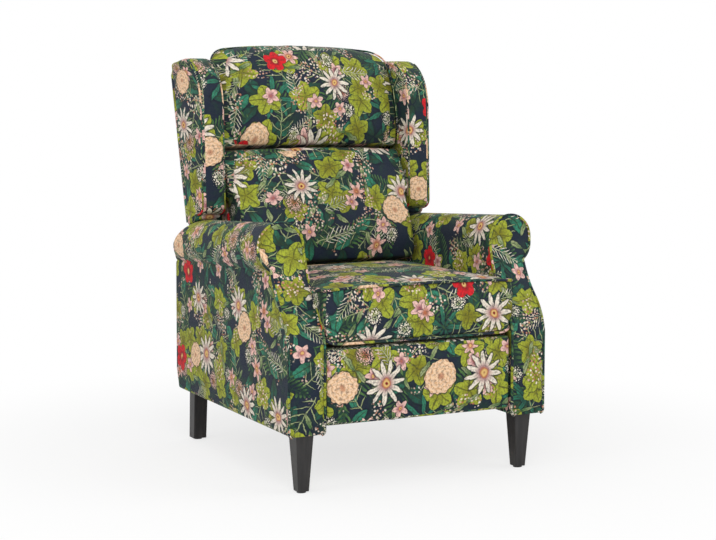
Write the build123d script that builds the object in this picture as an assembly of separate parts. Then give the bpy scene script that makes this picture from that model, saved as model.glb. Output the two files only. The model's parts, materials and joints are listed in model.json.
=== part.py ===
from build123d import *
import os
from math import atan2, cos, degrees, hypot, radians, sin

# Wingback push-back recliner, upright. Millimetres.
# x runs to the sitter's left, z up from the floor. While the pieces are made, y runs
# backward from the front plane of the arms; at the end everything moves forward by half
# the depth, so the origin is the middle of the footprint.

# ---- driving dimensions -------------------------------------------------------------
DEPTH = 790.0                # front plane of the arms to the top rear edge of the back
ARM_INNER = 254.0            # inner face of each arm
ARM_OUTER = 345.0            # flat outer face of each arm
ROLL_OUTER = 371.5           # widest point of the arm roll
ROLL_CENTRE = 315.0
ROLL_INNER = 257.0
BASE_BOTTOM = 140.0          # underside of the arms, so the visible leg length
ARM_TOP_FRONT = 631.0        # top of the roll at y = 0
ARM_TOP_SLOPE = -0.0483      # fall of the roll for each mm backward
CREASE_FRONT = 519.0         # seam under the roll at y = 0
CREASE_SLOPE = -0.0435
ARM_REAR = 735.0
FACING = 8.0                 # depth of the upholstered panel on the arm's front
PAD_WALL = 12.0              # padding and cover over the arm's timber

LEG_X = 297.0
FRONT_LEG_Y = 42.0
REAR_LEG_Y = 705.0
REAR_LEG_RAKE = 11.0         # how far the rear foot stands behind its top
GLIDE = 4.0
GLIDE_RADIUS = 11.0

SHEET = 3.0                  # thickness of every steel plate of the mechanism
BASE_PLATE_X = 249.0         # inner face of each layer of plates, from the arm inward
SWING_X = 244.5
CARRIAGE_X = 239.5
FOOT_LINK_X = 234.5
FOOT_ARM_X = 229.5
FOOT_TIE_X = 224.5
FOOT_BRACKET_X = 219.5
PIN = 5.0                    # radius of the main pivots
SMALL_PIN = 4.0
FIT = 0.05                   # radial clearance of a turning joint
FIXED = 0.02                 # radial clearance of a pin that is fixed in its plate
BOLT = 4.0                   # radius of the leg bolts and of the bracket bolts
BOLT_FIT = 0.2
SCREW = 3.0                  # radius of the base rail screws
HEAD = 1.6                   # thickness of a pin's head
HEAD_LIP = 3.0               # how far a pin's head stands out around the pin
OPEN_FIT = 1.4               # radial play at the loose end of the back drive link

SWING_LENGTH = 110.0
SWING_LEAN = 45.0            # degrees the swing links lean back at rest
FRONT_SWING = (230.0, 212.0)
REAR_SWING = (520.0, 212.0)

SEAT_HALF = 249.0
SEAT_FRONT = 5.0
SEAT_REAR = 524.0
RAIL_BOTTOM = 351.0
RAIL_TOP = 391.0
CUSHION_BOTTOM = 397.0
BORDER_BOTTOM = 346.0
FRONT_RAIL_Y = 60.0
RAIL_THICK = 22.0

BACK_LEAN = 15.0             # degrees the back leans from upright
BACK_FOOT = (606.0, 350.0)   # where the back's rear plane meets z = 350
BACK_PIVOT = (620.0, 350.0)
WING_INNER = 268.0
WING_OUTER = 336.0
BACK_LOW_HALF = 248.0        # half width of the back between the arms
BACK_TOP = 709.0             # height of the back along its own slope
OUTSIDE_FOOT_HALF = 236.0    # the outside back clears the hinge plates at its foot
COVER = 12.0                 # depth of the outside back panel
PILLOW_REAR = -60.0
CREASE_UP = 427.0            # seam between lumbar pillow and head pillow
POST_INNER = 206.0
POST_OUTER = 238.0

FOOT_HALF = 248.0
FOOT_BOTTOM = 161.0
FOOT_TOP = 337.0
FOOT_FRONT = 6.0
FOOT_PAD = 36.0
FOOT_BOARD = 15.0
FOOT_PIVOT = (180.0, 325.0)  # front footrest link on the carriage
FOOT_LINK = 112.0
FOOT_LINK_LEAN = -53.0       # direction of the folded links, degrees from +y
FOOT_SPREAD = 60.0           # from the front links to the rear links
FOOT_HINGE = (112.0, 325.0)  # hinge of the footrest itself
CRANK = 30.0
CRANK_LEAN = -78.4

nodes = {}


# ---- small makers ---------------------------------------------------------------------
def keep(name, *shapes):
    """Store one named piece, or a group of like pieces, for export."""
    nodes[name] = [solid for shape in shapes for solid in shape.solids()]


def block(x0, x1, y0, y1, z0, z1):
    """Box between two corners."""
    middle = Pos((x0 + x1) / 2, (y0 + y1) / 2, (z0 + z1) / 2)
    return middle * Box(abs(x1 - x0), abs(y1 - y0), abs(z1 - z0))


def other_side(shape):
    """The same piece on the sitter's right."""
    return mirror(shape, about=Plane.YZ)


def side_prism(edges, x0, x1):
    """Prism across the chair from a closed outline of edges in the plane x = 0."""
    face = make_face(Wire(edges))
    return Pos(x0, 0, 0) * extrude(face, amount=x1 - x0, dir=(1, 0, 0))


def side_point(point):
    """A (y, z) pair as a point of the plane x = 0."""
    return (0, point[0], point[1])


def side_line(*points):
    """Straight edges through (y, z) points."""
    pairs = zip(points[:-1], points[1:])
    return [Line(side_point(a), side_point(b)) for a, b in pairs]


def side_arc(start, middle, end):
    """Arc through three (y, z) points."""
    return [ThreePointArc(side_point(start), side_point(middle), side_point(end))]


def rod(centre, radius, x0, x1):
    """Round bar across the chair about a (y, z) point."""
    sketch = Plane.YZ.offset(x0) * Pos(*centre) * Circle(radius)
    return extrude(sketch, amount=x1 - x0)


def layer_hole(centre, radius, x0):
    """Cutter for a round hole through the layer of plates that starts at x0."""
    return rod(centre, radius, x0 - 1, x0 + SHEET + 1)


def plate(x0, width, *points, holes=(), hole=PIN + FIT):
    """Steel plate with round ends that runs through (y, z) points, with pivot holes."""
    sketch = Sketch()
    for (y0, z0), (y1, z1) in zip(points[:-1], points[1:]):
        run = hypot(y1 - y0, z1 - z0)
        turn = degrees(atan2(z1 - z0, y1 - y0))
        place = Pos((y0 + y1) / 2, (z0 + z1) / 2) * Rot(0, 0, turn)
        sketch += place * SlotCenterToCenter(run, width)
    body = extrude(Plane.YZ.offset(x0) * sketch, amount=SHEET)
    for centre in holes:
        body -= layer_hole(centre, hole, x0)
    return body


def pin(centre, radius, x0, x1, head_at=None):
    """Pivot pin between two layers, with a flat head on one end."""
    body = rod(centre, radius, x0, x1)
    if head_at == "inner":
        body += rod(centre, radius + HEAD_LIP, x0 - HEAD, x0)
    if head_at == "outer":
        body += rod(centre, radius + HEAD_LIP, x1, x1 + HEAD)
    return body


def step(point, length, direction):
    """The (y, z) point that lies a length away in a direction given in degrees."""
    angle = radians(direction)
    return (point[0] + length * cos(angle), point[1] + length * sin(angle))


def back_point(up, behind):
    """The (y, z) of a point given along the back's slope and behind its rear plane."""
    lean = radians(BACK_LEAN)
    y = BACK_FOOT[0] + up * sin(lean) + behind * cos(lean)
    z = BACK_FOOT[1] + up * cos(lean) - behind * sin(lean)
    return (y, z)


back_frame = Pos(0, *BACK_FOOT) * Rot(-BACK_LEAN, 0, 0)


# ---- legs -------------------------------------------------------------------------------
LEG_CHAMFER = 1.5
BOLT_LENGTH = 80.0
BOLT_MIDDLE = BASE_BOTTOM - 2
LEG_PLATE = (50.0, 18.0, 3.0)


def leg(x, y_top, top, foot, rake):
    """Square tapered leg, its edges broken, with a blind hole for its hanger bolt."""
    upper = Pos(x, y_top, BASE_BOTTOM) * Rectangle(top, top)
    lower = Pos(x, y_top + rake, GLIDE) * Rectangle(foot, foot)
    body = loft([lower.face(), upper.face()], ruled=True)
    corners = body.edges().sort_by(SortBy.LENGTH)[-4:]
    body = chamfer(corners, LEG_CHAMFER)
    depth = BOLT_LENGTH / 2 + 1
    return body - Pos(x, y_top, BOLT_MIDDLE - depth / 2) * Cylinder(BOLT + BOLT_FIT, depth + 6)


legs = {
    "front_left_leg": (LEG_X, FRONT_LEG_Y, 45.0, 28.0, 0.0),
    "front_right_leg": (-LEG_X, FRONT_LEG_Y, 45.0, 28.0, 0.0),
    "rear_left_leg": (LEG_X, REAR_LEG_Y, 38.0, 36.0, REAR_LEG_RAKE),
    "rear_right_leg": (-LEG_X, REAR_LEG_Y, 38.0, 36.0, REAR_LEG_RAKE),
}
glides = []
leg_plates = []
leg_bolts = []
for name, (x, y, top, foot, rake) in legs.items():
    keep(name, leg(x, y, top, foot, rake))
    glides.append(Pos(x, y + rake, GLIDE / 2) * Cylinder(GLIDE_RADIUS, GLIDE))
    plate_hole = Cylinder(BOLT + BOLT_FIT, 10)
    plate_middle = Pos(x, y, BASE_BOTTOM + LEG_PLATE[2] / 2)
    leg_plates.append(plate_middle * (Box(*LEG_PLATE) - plate_hole))
    leg_bolts.append(Pos(x, y, BOLT_MIDDLE) * Cylinder(BOLT, BOLT_LENGTH))
keep("glides", *glides)
keep("leg_plates", *leg_plates)
keep("leg_bolts", *leg_bolts)


# ---- arms --------------------------------------------------------------------------------
def arm_section(y):
    """Outline of the arm at one depth: flat sides below, a fat roll above the crease."""
    top = ARM_TOP_FRONT + ARM_TOP_SLOPE * y
    crease = CREASE_FRONT + CREASE_SLOPE * y
    middle = (top + crease) / 2
    rise = top - middle
    out = ROLL_OUTER - ROLL_CENTRE
    inward = ROLL_CENTRE - ROLL_INNER

    def at(x, z):
        return (x, y, z)

    edges = [
        Line(at(ARM_INNER, BASE_BOTTOM), at(ARM_OUTER, BASE_BOTTOM)),
        Line(at(ARM_OUTER, BASE_BOTTOM), at(ARM_OUTER, crease)),
        ThreePointArc(
            at(ARM_OUTER, crease),
            at(ROLL_OUTER - 5, middle - 0.52 * rise),
            at(ROLL_OUTER, middle),
        ),
        ThreePointArc(
            at(ROLL_OUTER, middle),
            at(ROLL_CENTRE + 0.72 * out, middle + 0.7 * rise),
            at(ROLL_CENTRE, top),
        ),
        ThreePointArc(
            at(ROLL_CENTRE, top),
            at(ROLL_CENTRE - 0.72 * inward, middle + 0.7 * rise),
            at(ROLL_INNER, middle),
        ),
        Line(at(ROLL_INNER, middle), at(ARM_INNER, crease)),
        Line(at(ARM_INNER, crease), at(ARM_INNER, BASE_BOTTOM)),
    ]
    return make_face(Wire(edges))


def arm_side(shift):
    """Side view of the arm: scooped front, sloping roll that stops short of the rear."""
    front = shift
    edges = side_line((front, 100), (front, 345))
    edges += side_arc((front, 345), (front + 14, 388), (front + 46, 432))
    edges += side_arc((front + 46, 432), (front + 78, 473), (front + 108, 545))
    edges += side_line((front + 108, 545), (front + 112, 560), (front + 112, 660))
    edges += side_line((front + 112, 660), (590, 660), (590, 603.5))
    edges += side_arc((590, 603.5), (643, 590), (690, 550))
    edges += side_line((690, 550), (692, 487), (728, 487), (ARM_REAR, BASE_BOTTOM))
    edges += side_line((ARM_REAR, BASE_BOTTOM), (ARM_REAR, 100), (front, 100))
    return side_prism(edges, 240, 380)


arm_mass = loft([arm_section(-5.0), arm_section(ARM_REAR + 5)], ruled=True)
arm_body = arm_mass & arm_side(0)
arm_cover = arm_mass & arm_side(FACING)
arm_facing = arm_body - arm_side(FACING)

cavity_outline = side_line(
    (20, 100), (20, 340), (60, 425), (110, 478), (712, 462), (715, 100), (20, 100)
)
arm_cover -= side_prism(cavity_outline, ARM_INNER + PAD_WALL, ARM_OUTER - PAD_WALL)

CROSS_Y = ((105.0, 130.0), (689.0, 714.0))
CROSS_Z = (145.0, 185.0)
for y0, y1 in CROSS_Y:
    arm_cover -= block(ARM_INNER - 1, ARM_INNER + PAD_WALL, y0, y1, *CROSS_Z)

TIMBER_IN = ARM_INNER + PAD_WALL + 2
TIMBER_OUT = ARM_OUTER - PAD_WALL - 2
BASE_REAR = 712.0            # rear end of the arm's bottom rail and of the base rail
BOTTOM_RAIL_TOP = 188.0
ARM_POST_X = (275.0, 325.0)
ARM_POST_TOP = 424.0
ARM_RAIL_TOP = 460.0
bottom_rail_z = (BASE_BOTTOM + LEG_PLATE[2], BOTTOM_RAIL_TOP)
bottom_rail = block(TIMBER_IN, TIMBER_OUT, 22, BASE_REAR, *bottom_rail_z)
for y in (FRONT_LEG_Y, REAR_LEG_Y):
    bottom_rail -= Pos(LEG_X, y, 160) * Cylinder(BOLT + BOLT_FIT, 40)
front_post = block(*ARM_POST_X, 70, 110, BOTTOM_RAIL_TOP, ARM_POST_TOP)
rear_post = block(*ARM_POST_X, 664, 704, BOTTOM_RAIL_TOP, ARM_POST_TOP)
top_rail = block(*ARM_POST_X, 102, 704, ARM_POST_TOP, ARM_RAIL_TOP)

keep("left_arm_cover", arm_cover)
keep("right_arm_cover", other_side(arm_cover))
keep("left_arm_facing", arm_facing)
keep("right_arm_facing", other_side(arm_facing))
keep("arm_bottom_rails", bottom_rail, other_side(bottom_rail))
arm_posts = [front_post, rear_post]
keep("arm_posts", *arm_posts, *[other_side(post) for post in arm_posts])
keep("arm_top_rails", top_rail, other_side(top_rail))

# ---- base between the arms ------------------------------------------------------------------
TAB_INNER = 222.0
SCREW_X = 236.0
SCREW_DEPTH = 21.0
RAIL_LOW = CROSS_Z[1]        # the base rails stand on the cross rails
RAIL_HIGH = 235.0
base_rail = block(BASE_PLATE_X, BASE_PLATE_X + SHEET, 100, BASE_REAR, RAIL_LOW, RAIL_HIGH)
cross_rails = []
screws = []
for y0, y1 in CROSS_Y:
    cross = block(-TIMBER_IN, TIMBER_IN, y0, y1, *CROSS_Z)
    tab_end = min(y1, BASE_REAR)
    base_rail += block(TAB_INNER, BASE_PLATE_X + SHEET, y0, tab_end, RAIL_LOW, RAIL_LOW + SHEET)
    y = (y0 + tab_end) / 2
    base_rail -= Pos(SCREW_X, y, RAIL_LOW) * Cylinder(SCREW + BOLT_FIT, 12)
    shank = Pos(SCREW_X, y, RAIL_LOW + (SHEET - SCREW_DEPTH) / 2)
    screw = shank * Cylinder(SCREW, SCREW_DEPTH + SHEET)
    screw += Pos(SCREW_X, y, RAIL_LOW + SHEET + 1) * Cylinder(2 * SCREW, 2)
    screws += [screw, other_side(screw)]
    for x in (SCREW_X, -SCREW_X):
        cross -= Pos(x, y, RAIL_LOW - SCREW_DEPTH / 2) * Cylinder(SCREW + FIT, SCREW_DEPTH + 1)
    cross_rails.append(cross)
for centre in (FRONT_SWING, REAR_SWING):
    base_rail -= layer_hole(centre, PIN + FIXED, BASE_PLATE_X)

keep("front_cross_rail", cross_rails[0])
keep("rear_cross_rail", cross_rails[1])
keep("rear_apron", block(0.5 - ARM_INNER, ARM_INNER - 0.5, 714, 726, 145, 330))
keep("base_rails", base_rail, other_side(base_rail))
keep("base_rail_screws", *screws)

base_pins = []
for centre in (FRONT_SWING, REAR_SWING):
    one = pin(centre, PIN, SWING_X, BASE_PLATE_X + SHEET, head_at="inner")
    base_pins += [one, other_side(one)]
keep("base_pins", *base_pins)

# ---- swing links that carry the seat ---------------------------------------------------------
FRONT_HANG = step(FRONT_SWING, SWING_LENGTH, SWING_LEAN)
REAR_HANG = step(REAR_SWING, SWING_LENGTH, SWING_LEAN)
DRIVE_CRANK = 22.0
DRIVE_LOW = (REAR_HANG[0] - DRIVE_CRANK, REAR_HANG[1])
DRIVE_HIGH = (624.0, 326.1)

front_link = plate(SWING_X, 24, FRONT_SWING, FRONT_HANG, holes=[FRONT_SWING])
front_link -= layer_hole(FRONT_HANG, PIN + FIXED, SWING_X)
rear_link = plate(SWING_X, 24, REAR_SWING, REAR_HANG, DRIVE_LOW, holes=[REAR_SWING])
rear_link -= layer_hole(REAR_HANG, PIN + FIXED, SWING_X)
rear_link -= layer_hole(DRIVE_LOW, SMALL_PIN + FIT, SWING_X)


def torsion_tube(centre):
    """Cross tube whose stub ends turn in the carriage rails and hold the swing links."""
    tube = rod(centre, 10, -CARRIAGE_X + 0.5, CARRIAGE_X - 0.5)
    return tube + rod(centre, PIN, -SWING_X - SHEET, SWING_X + SHEET)


keep("front_swing_links", front_link, other_side(front_link))
keep("rear_swing_links", rear_link, other_side(rear_link))
keep("front_torsion_tube", torsion_tube(FRONT_HANG))
keep("rear_torsion_tube", torsion_tube(REAR_HANG))

# ---- carriage: steel side rails and the timber seat frame --------------------------------------
FOOT_REAR_PIVOT = (FOOT_PIVOT[0] + FOOT_SPREAD, FOOT_PIVOT[1])
FLANGE_INNER = 205.0
carriage_rail = block(CARRIAGE_X, CARRIAGE_X + SHEET, 120, 640, 275, RAIL_BOTTOM)
carriage_rail += rod(BACK_PIVOT, 18, CARRIAGE_X, CARRIAGE_X + SHEET)
flange_z = (RAIL_BOTTOM - SHEET, RAIL_BOTTOM)
carriage_rail += block(FLANGE_INNER, CARRIAGE_X + SHEET, 75, 560, *flange_z)
for centre in (FRONT_HANG, REAR_HANG):
    carriage_rail -= layer_hole(centre, PIN + FIT, CARRIAGE_X)
for centre in (BACK_PIVOT, FOOT_PIVOT, FOOT_REAR_PIVOT):
    carriage_rail -= layer_hole(centre, PIN + FIXED, CARRIAGE_X)
back_pin = pin(BACK_PIVOT, PIN, CARRIAGE_X, SWING_X + SHEET, head_at="inner")
foot_pins = [
    pin(centre, PIN, FOOT_LINK_X, CARRIAGE_X + SHEET, head_at="inner")
    for centre in (FOOT_PIVOT, FOOT_REAR_PIVOT)
]
carriage_pins = []
for one in [back_pin] + foot_pins:
    carriage_pins += [one, other_side(one)]

SIDE_RAIL = (205.0, 235.0)
SEAT_REAR_RAIL = 500.0
seat_z = (RAIL_BOTTOM, RAIL_TOP)
side_rail_y = (FRONT_RAIL_Y + RAIL_THICK, SEAT_REAR_RAIL)
seat_side = block(*SIDE_RAIL, *side_rail_y, *seat_z)
rear_rail_y = (SEAT_REAR_RAIL, SEAT_REAR_RAIL + RAIL_THICK)

keep("carriage_rails", carriage_rail, other_side(carriage_rail))
keep("carriage_pins", *carriage_pins)
keep("carriage_cross_tube", rod((430, 320), 10, -CARRIAGE_X, CARRIAGE_X))
keep("left_seat_rail", seat_side)
keep("right_seat_rail", other_side(seat_side))
keep("front_seat_rail", block(-235, 235, FRONT_RAIL_Y, side_rail_y[0], *seat_z))
keep("rear_seat_rail", block(-235, 235, *rear_rail_y, *seat_z))

# ---- seat springs ----------------------------------------------------------------------------
WIRE = 1.8                   # radius of the spring wire
SPRING_LOOPS = 12
SPRING_HALF = 18.0           # half width of the zigzag
SPRING_Z = RAIL_TOP + WIRE
SPRING_START = FRONT_RAIL_Y + 14
SPRING_PITCH = (SEAT_REAR_RAIL + 8 - SPRING_START) / SPRING_LOOPS


def zigzag_spring(x):
    """One flat spring: straight runs across joined by half-round turns, front to rear."""
    edges = []
    bend = SPRING_PITCH / 2
    reach = SPRING_HALF - bend
    side = 1
    y = SPRING_START
    edges.append(Line((x, y, SPRING_Z), (x + reach, y, SPRING_Z)))
    for loop in range(SPRING_LOOPS):
        start = (x + side * reach, y, SPRING_Z)
        crown = (x + side * (reach + bend), y + bend, SPRING_Z)
        end = (x + side * reach, y + SPRING_PITCH, SPRING_Z)
        edges.append(ThreePointArc(start, crown, end))
        y += SPRING_PITCH
        last = loop == SPRING_LOOPS - 1
        stop = x if last else x - side * reach
        edges.append(Line(end, (stop, y, SPRING_Z)))
        side = -side
    path = Wire(edges)
    section = Plane((x, SPRING_START, SPRING_Z), z_dir=(1, 0, 0)) * Circle(WIRE)
    return sweep(section, path=path)


spring_x = (-160.0, -80.0, 0.0, 80.0, 160.0)
first_spring = zigzag_spring(0.0)
clips = []
for x in spring_x:
    for y in (SPRING_START - 7, SEAT_REAR_RAIL + 10):
        clips.append(block(x - 12, x - 6, y, y + 7, RAIL_TOP, RAIL_TOP + 4.5))
keep("seat_springs", *[Pos(x, 0, 0) * first_spring for x in spring_x])
keep("spring_clips", *clips)


# ---- seat cushion -----------------------------------------------------------------------------
def cushion_section(y, half, bottom, edge, crown, bulge):
    """Cross-section of the seat at one depth: drawn-in seams, fat sides, crowned top."""
    middle = (bottom + edge) / 2

    def at(x, z):
        return (x, y, z)

    edges = [
        Line(at(-half, bottom), at(half, bottom)),
        ThreePointArc(at(half, bottom), at(half + bulge, middle), at(half, edge)),
        ThreePointArc(at(half, edge), at(0, crown), at(-half, edge)),
        ThreePointArc(at(-half, edge), at(-half - bulge, middle), at(-half, bottom)),
    ]
    return make_face(Wire(edges))


# one row for each depth: y, half width, bottom, side seam, crown, bulge of the side
seat_sections = [
    (SEAT_FRONT + 2, SEAT_HALF - 4, CUSHION_BOTTOM, 472, 479, 2),
    (70, SEAT_HALF - 3, CUSHION_BOTTOM, 476, 488, 3),
    (290, SEAT_HALF - 4, CUSHION_BOTTOM, 477, 494, 3),
    (440, SEAT_HALF - 3, CUSHION_BOTTOM, 474, 489, 3),
    (SEAT_REAR, SEAT_HALF - 5, CUSHION_BOTTOM, 462, 470, 2),
]
seat_top = loft([cushion_section(*row) for row in seat_sections])


def border_section(x, out):
    """Side view of the front border at one width: a padded roll before the front rail."""
    front = SEAT_FRONT + 4 - out
    rear = FRONT_RAIL_Y - 1
    low = BORDER_BOTTOM + (4 - out)
    high = CUSHION_BOTTOM + 74

    def at(y, z):
        return (x, y, z)

    edges = [
        Line(at(rear, low + 4), at(rear, high)),
        Line(at(rear, high), at(front + 4, high)),
        ThreePointArc(at(front + 4, high), at(front - 4, (low + high) / 2), at(front + 3, low + 3)),
        ThreePointArc(at(front + 3, low + 3), at(front + 16, low), at(rear, low + 4)),
    ]
    return make_face(Wire(edges))


border_rows = [(-SEAT_HALF + 2, 1), (-150, 4), (0, 5), (150, 4), (SEAT_HALF - 2, 1)]
seat_border = loft([border_section(*row) for row in border_rows])
keep("seat_cushion", seat_top + seat_border)

# ---- footrest: two pairs of parallel links, an arm, a tie and the padded board ------------------
FOOT_ELBOW = step(FOOT_PIVOT, FOOT_LINK, FOOT_LINK_LEAN)
FOOT_REAR_ELBOW = (FOOT_ELBOW[0] + FOOT_SPREAD, FOOT_ELBOW[1])
CRANK_PIN = step(FOOT_ELBOW, CRANK, CRANK_LEAN)
TIE_END = step(FOOT_HINGE, CRANK, CRANK_LEAN)

foot_front_link = plate(
    FOOT_LINK_X, 22, FOOT_PIVOT, FOOT_ELBOW, CRANK_PIN, holes=[FOOT_PIVOT]
)
foot_front_link -= layer_hole(FOOT_ELBOW, PIN + FIXED, FOOT_LINK_X)
foot_front_link -= layer_hole(CRANK_PIN, SMALL_PIN + FIXED, FOOT_LINK_X)
rear_link_ends = [FOOT_REAR_PIVOT, FOOT_REAR_ELBOW]
foot_rear_link = plate(FOOT_LINK_X, 22, *rear_link_ends, holes=rear_link_ends)
foot_arm = plate(
    FOOT_ARM_X, 20, FOOT_REAR_ELBOW, FOOT_ELBOW, FOOT_HINGE, holes=[FOOT_ELBOW]
)
foot_arm -= layer_hole(FOOT_REAR_ELBOW, PIN + FIXED, FOOT_ARM_X)
foot_arm -= layer_hole(FOOT_HINGE, PIN + FIXED, FOOT_ARM_X)
foot_tie = plate(
    FOOT_TIE_X, 16, CRANK_PIN, TIE_END, holes=[CRANK_PIN, TIE_END], hole=SMALL_PIN + FIT
)

front_link_pins = [
    pin(FOOT_ELBOW, PIN, FOOT_ARM_X, FOOT_LINK_X + SHEET, head_at="outer"),
    pin(CRANK_PIN, SMALL_PIN, FOOT_TIE_X, FOOT_LINK_X + SHEET, head_at="outer"),
]
arm_pins = [
    pin(FOOT_REAR_ELBOW, PIN, FOOT_ARM_X, FOOT_LINK_X + SHEET, head_at="outer"),
    pin(FOOT_HINGE, PIN, FOOT_BRACKET_X, FOOT_ARM_X + SHEET, head_at="outer"),
]
tie_pin = pin(TIE_END, SMALL_PIN, FOOT_BRACKET_X, FOOT_TIE_X + SHEET, head_at="outer")

board_rear = FOOT_FRONT + FOOT_PAD + FOOT_BOARD
foot_bracket = plate(FOOT_BRACKET_X, 24, FOOT_HINGE, TIE_END, (TIE_END[0], 250))
foot_bracket += block(
    FOOT_BRACKET_X, FOOT_BRACKET_X + SHEET, board_rear, TIE_END[0], 240, FOOT_HINGE[1]
)
foot_bracket += block(190, FOOT_BRACKET_X + SHEET, board_rear, board_rear + SHEET, 200, 320)
foot_bracket -= layer_hole(FOOT_HINGE, PIN + FIT, FOOT_BRACKET_X)
foot_bracket -= layer_hole(TIE_END, SMALL_PIN + FIXED, FOOT_BRACKET_X)

keep("footrest_front_links", foot_front_link, other_side(foot_front_link))
keep("footrest_front_pins", *front_link_pins, *[other_side(one) for one in front_link_pins])
keep("footrest_rear_links", foot_rear_link, other_side(foot_rear_link))
keep("footrest_arms", foot_arm, other_side(foot_arm))
keep("footrest_arm_pins", *arm_pins, *[other_side(one) for one in arm_pins])
keep("footrest_tie_links", foot_tie, other_side(foot_tie))
keep("footrest_brackets", foot_bracket, other_side(foot_bracket))
keep("footrest_tie_pins", tie_pin, other_side(tie_pin))
board_y = (FOOT_FRONT + FOOT_PAD, board_rear)
keep("footrest_board", block(-FOOT_HALF, FOOT_HALF, *board_y, FOOT_BOTTOM + 3, FOOT_TOP - 3))


def foot_pad_section(z, drop):
    """Plan of the footrest pad at one height: flat behind, crowned in front."""
    rear = FOOT_FRONT + FOOT_PAD
    edge = FOOT_FRONT + 5 + drop
    crown = FOOT_FRONT - 3 + drop
    half = FOOT_HALF

    def at(x, y):
        return (x, y, z)

    edges = [
        Line(at(-half, rear), at(-half, edge)),
        ThreePointArc(at(-half, edge), at(0, crown), at(half, edge)),
        Line(at(half, edge), at(half, rear)),
        Line(at(half, rear), at(-half, rear)),
    ]
    return make_face(Wire(edges))


pad_rows = [(FOOT_BOTTOM, 8), (FOOT_BOTTOM + 30, 1), (248, 0), (FOOT_TOP - 30, 1), (FOOT_TOP, 10)]
keep("footrest_pad", loft([foot_pad_section(*row) for row in pad_rows]))

# ---- back frame ---------------------------------------------------------------------------------
bolt_ups = (85.0, 145.0)
bolt_behind = -26.0
POST_FRONT = -36.0           # front of the posts, measured from the rear plane
RAIL_FRONT = -58.0
back_post = back_frame * block(POST_INNER, POST_OUTER, POST_FRONT, -COVER, 12, 661)
bracket_foot = (600.0, 412.0)
bracket_top = back_point(160, bolt_behind)
back_bracket = plate(
    SWING_X, 24, DRIVE_HIGH, BACK_PIVOT, bracket_foot, bracket_top, holes=[BACK_PIVOT]
)
back_bracket -= layer_hole(DRIVE_HIGH, SMALL_PIN + OPEN_FIT, SWING_X)
bracket_bolts = []
for up in bolt_ups:
    centre = back_point(up, bolt_behind)
    back_post -= rod(centre, BOLT + FIT, POST_INNER - 1, POST_OUTER + 1)
    back_bracket -= layer_hole(centre, BOLT + FIT, SWING_X)
    bolt = rod(centre, BOLT, POST_INNER, SWING_X + SHEET)
    spacer = rod(centre, 2 * BOLT, POST_OUTER, SWING_X)
    head = rod(centre, BOLT + HEAD_LIP, SWING_X + SHEET, SWING_X + SHEET + 2)
    bolt += spacer + head
    bracket_bolts += [bolt, other_side(bolt)]

RAIL_REACH = 291.0
rail_rows = {
    "back_bottom_rail": (POST_OUTER, 20, 60),
    "back_middle_rail": (RAIL_REACH, 345, 385),
    "back_top_rail": (RAIL_REACH, 620, 660),
}
back_rails = {}
for name, (reach, low, high) in rail_rows.items():
    back_rails[name] = back_frame * block(-reach, reach, RAIL_FRONT, POST_FRONT, low, high)
    keep(name, back_rails[name])
keep("back_posts", back_post, other_side(back_post))
keep("back_brackets", back_bracket, other_side(back_bracket))
keep("back_bracket_bolts", *bracket_bolts)
WEB_THICK = 2.0
WEB_WIDTH = 45.0
webbing = []
for up in (110, 172, 234, 296, 400, 465, 530):
    web_y = (POST_FRONT - WEB_THICK, POST_FRONT)
    webbing.append(back_frame * block(-POST_OUTER, POST_OUTER, *web_y, up, up + WEB_WIDTH))
keep("back_webbing", *webbing)

# ---- wings ---------------------------------------------------------------------------------------
wing_low = back_point(249, -COVER)
wing_high = back_point(682, -COVER)
wing_edges = side_line(wing_low, (600, 608))
wing_edges += side_arc((600, 608), (575, 616), (565, 641))
wing_edges += side_line((565, 641), (574, 905))
wing_edges += side_arc((574, 905), (600, 971), (655, 1013))
wing_edges += side_arc((655, 1013), (684, 1024), (714, 1025))
wing_edges += side_line((714, 1025), wing_high, wing_low)
wing_mass = side_prism(wing_edges, WING_INNER, WING_OUTER)
panel_low = back_point(270, -22)
panel_high = back_point(664, -22)
panel_edges = side_line(
    panel_low, (604, 626), (586, 660), (592, 900), (628, 970), (668, 996), (705, 1004),
    panel_high, panel_low
)
wing_panel = side_prism(panel_edges, RAIL_REACH, RAIL_REACH + 18)
wing_cover = wing_mass - wing_panel
wing_cover -= back_rails["back_middle_rail"]
wing_cover -= back_rails["back_top_rail"]
keep("wing_panels", wing_panel, other_side(wing_panel))
keep("left_wing_cover", wing_cover)
keep("right_wing_cover", other_side(wing_cover))


# ---- outside back -----------------------------------------------------------------------------------
def back_outline(drop=0.0):
    """Outline of the outside back in its own slope: low tongue, wide top, round shoulders."""
    right = [
        (OUTSIDE_FOOT_HALF, 5), (OUTSIDE_FOOT_HALF, 118), (BACK_LOW_HALF, 124),
        (BACK_LOW_HALF, 247), (WING_OUTER, 250), (WING_OUTER, 659 - drop),
        (WING_OUTER - 16, 681 - drop), (262, 684 - drop)
    ]
    left = [(-x, up) for x, up in reversed(right)]

    def at(point):
        return (point[0], 0, point[1])

    edges = [Line(at(a), at(b)) for a, b in zip(right[:-1], right[1:])]
    top = BACK_TOP - drop
    edges.append(ThreePointArc(at(right[-1]), at((150, top - 6)), at((0, top))))
    edges.append(ThreePointArc(at((0, top)), at((-150, top - 6)), at(left[0])))
    edges += [Line(at(a), at(b)) for a, b in zip(left[:-1], left[1:])]
    edges.append(Line(at(left[-1]), at(right[0])))
    return make_face(Wire(edges))


outside = extrude(back_outline(), amount=COVER, dir=(0, -1, 0))
keep("outside_back", back_frame * outside)


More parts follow.
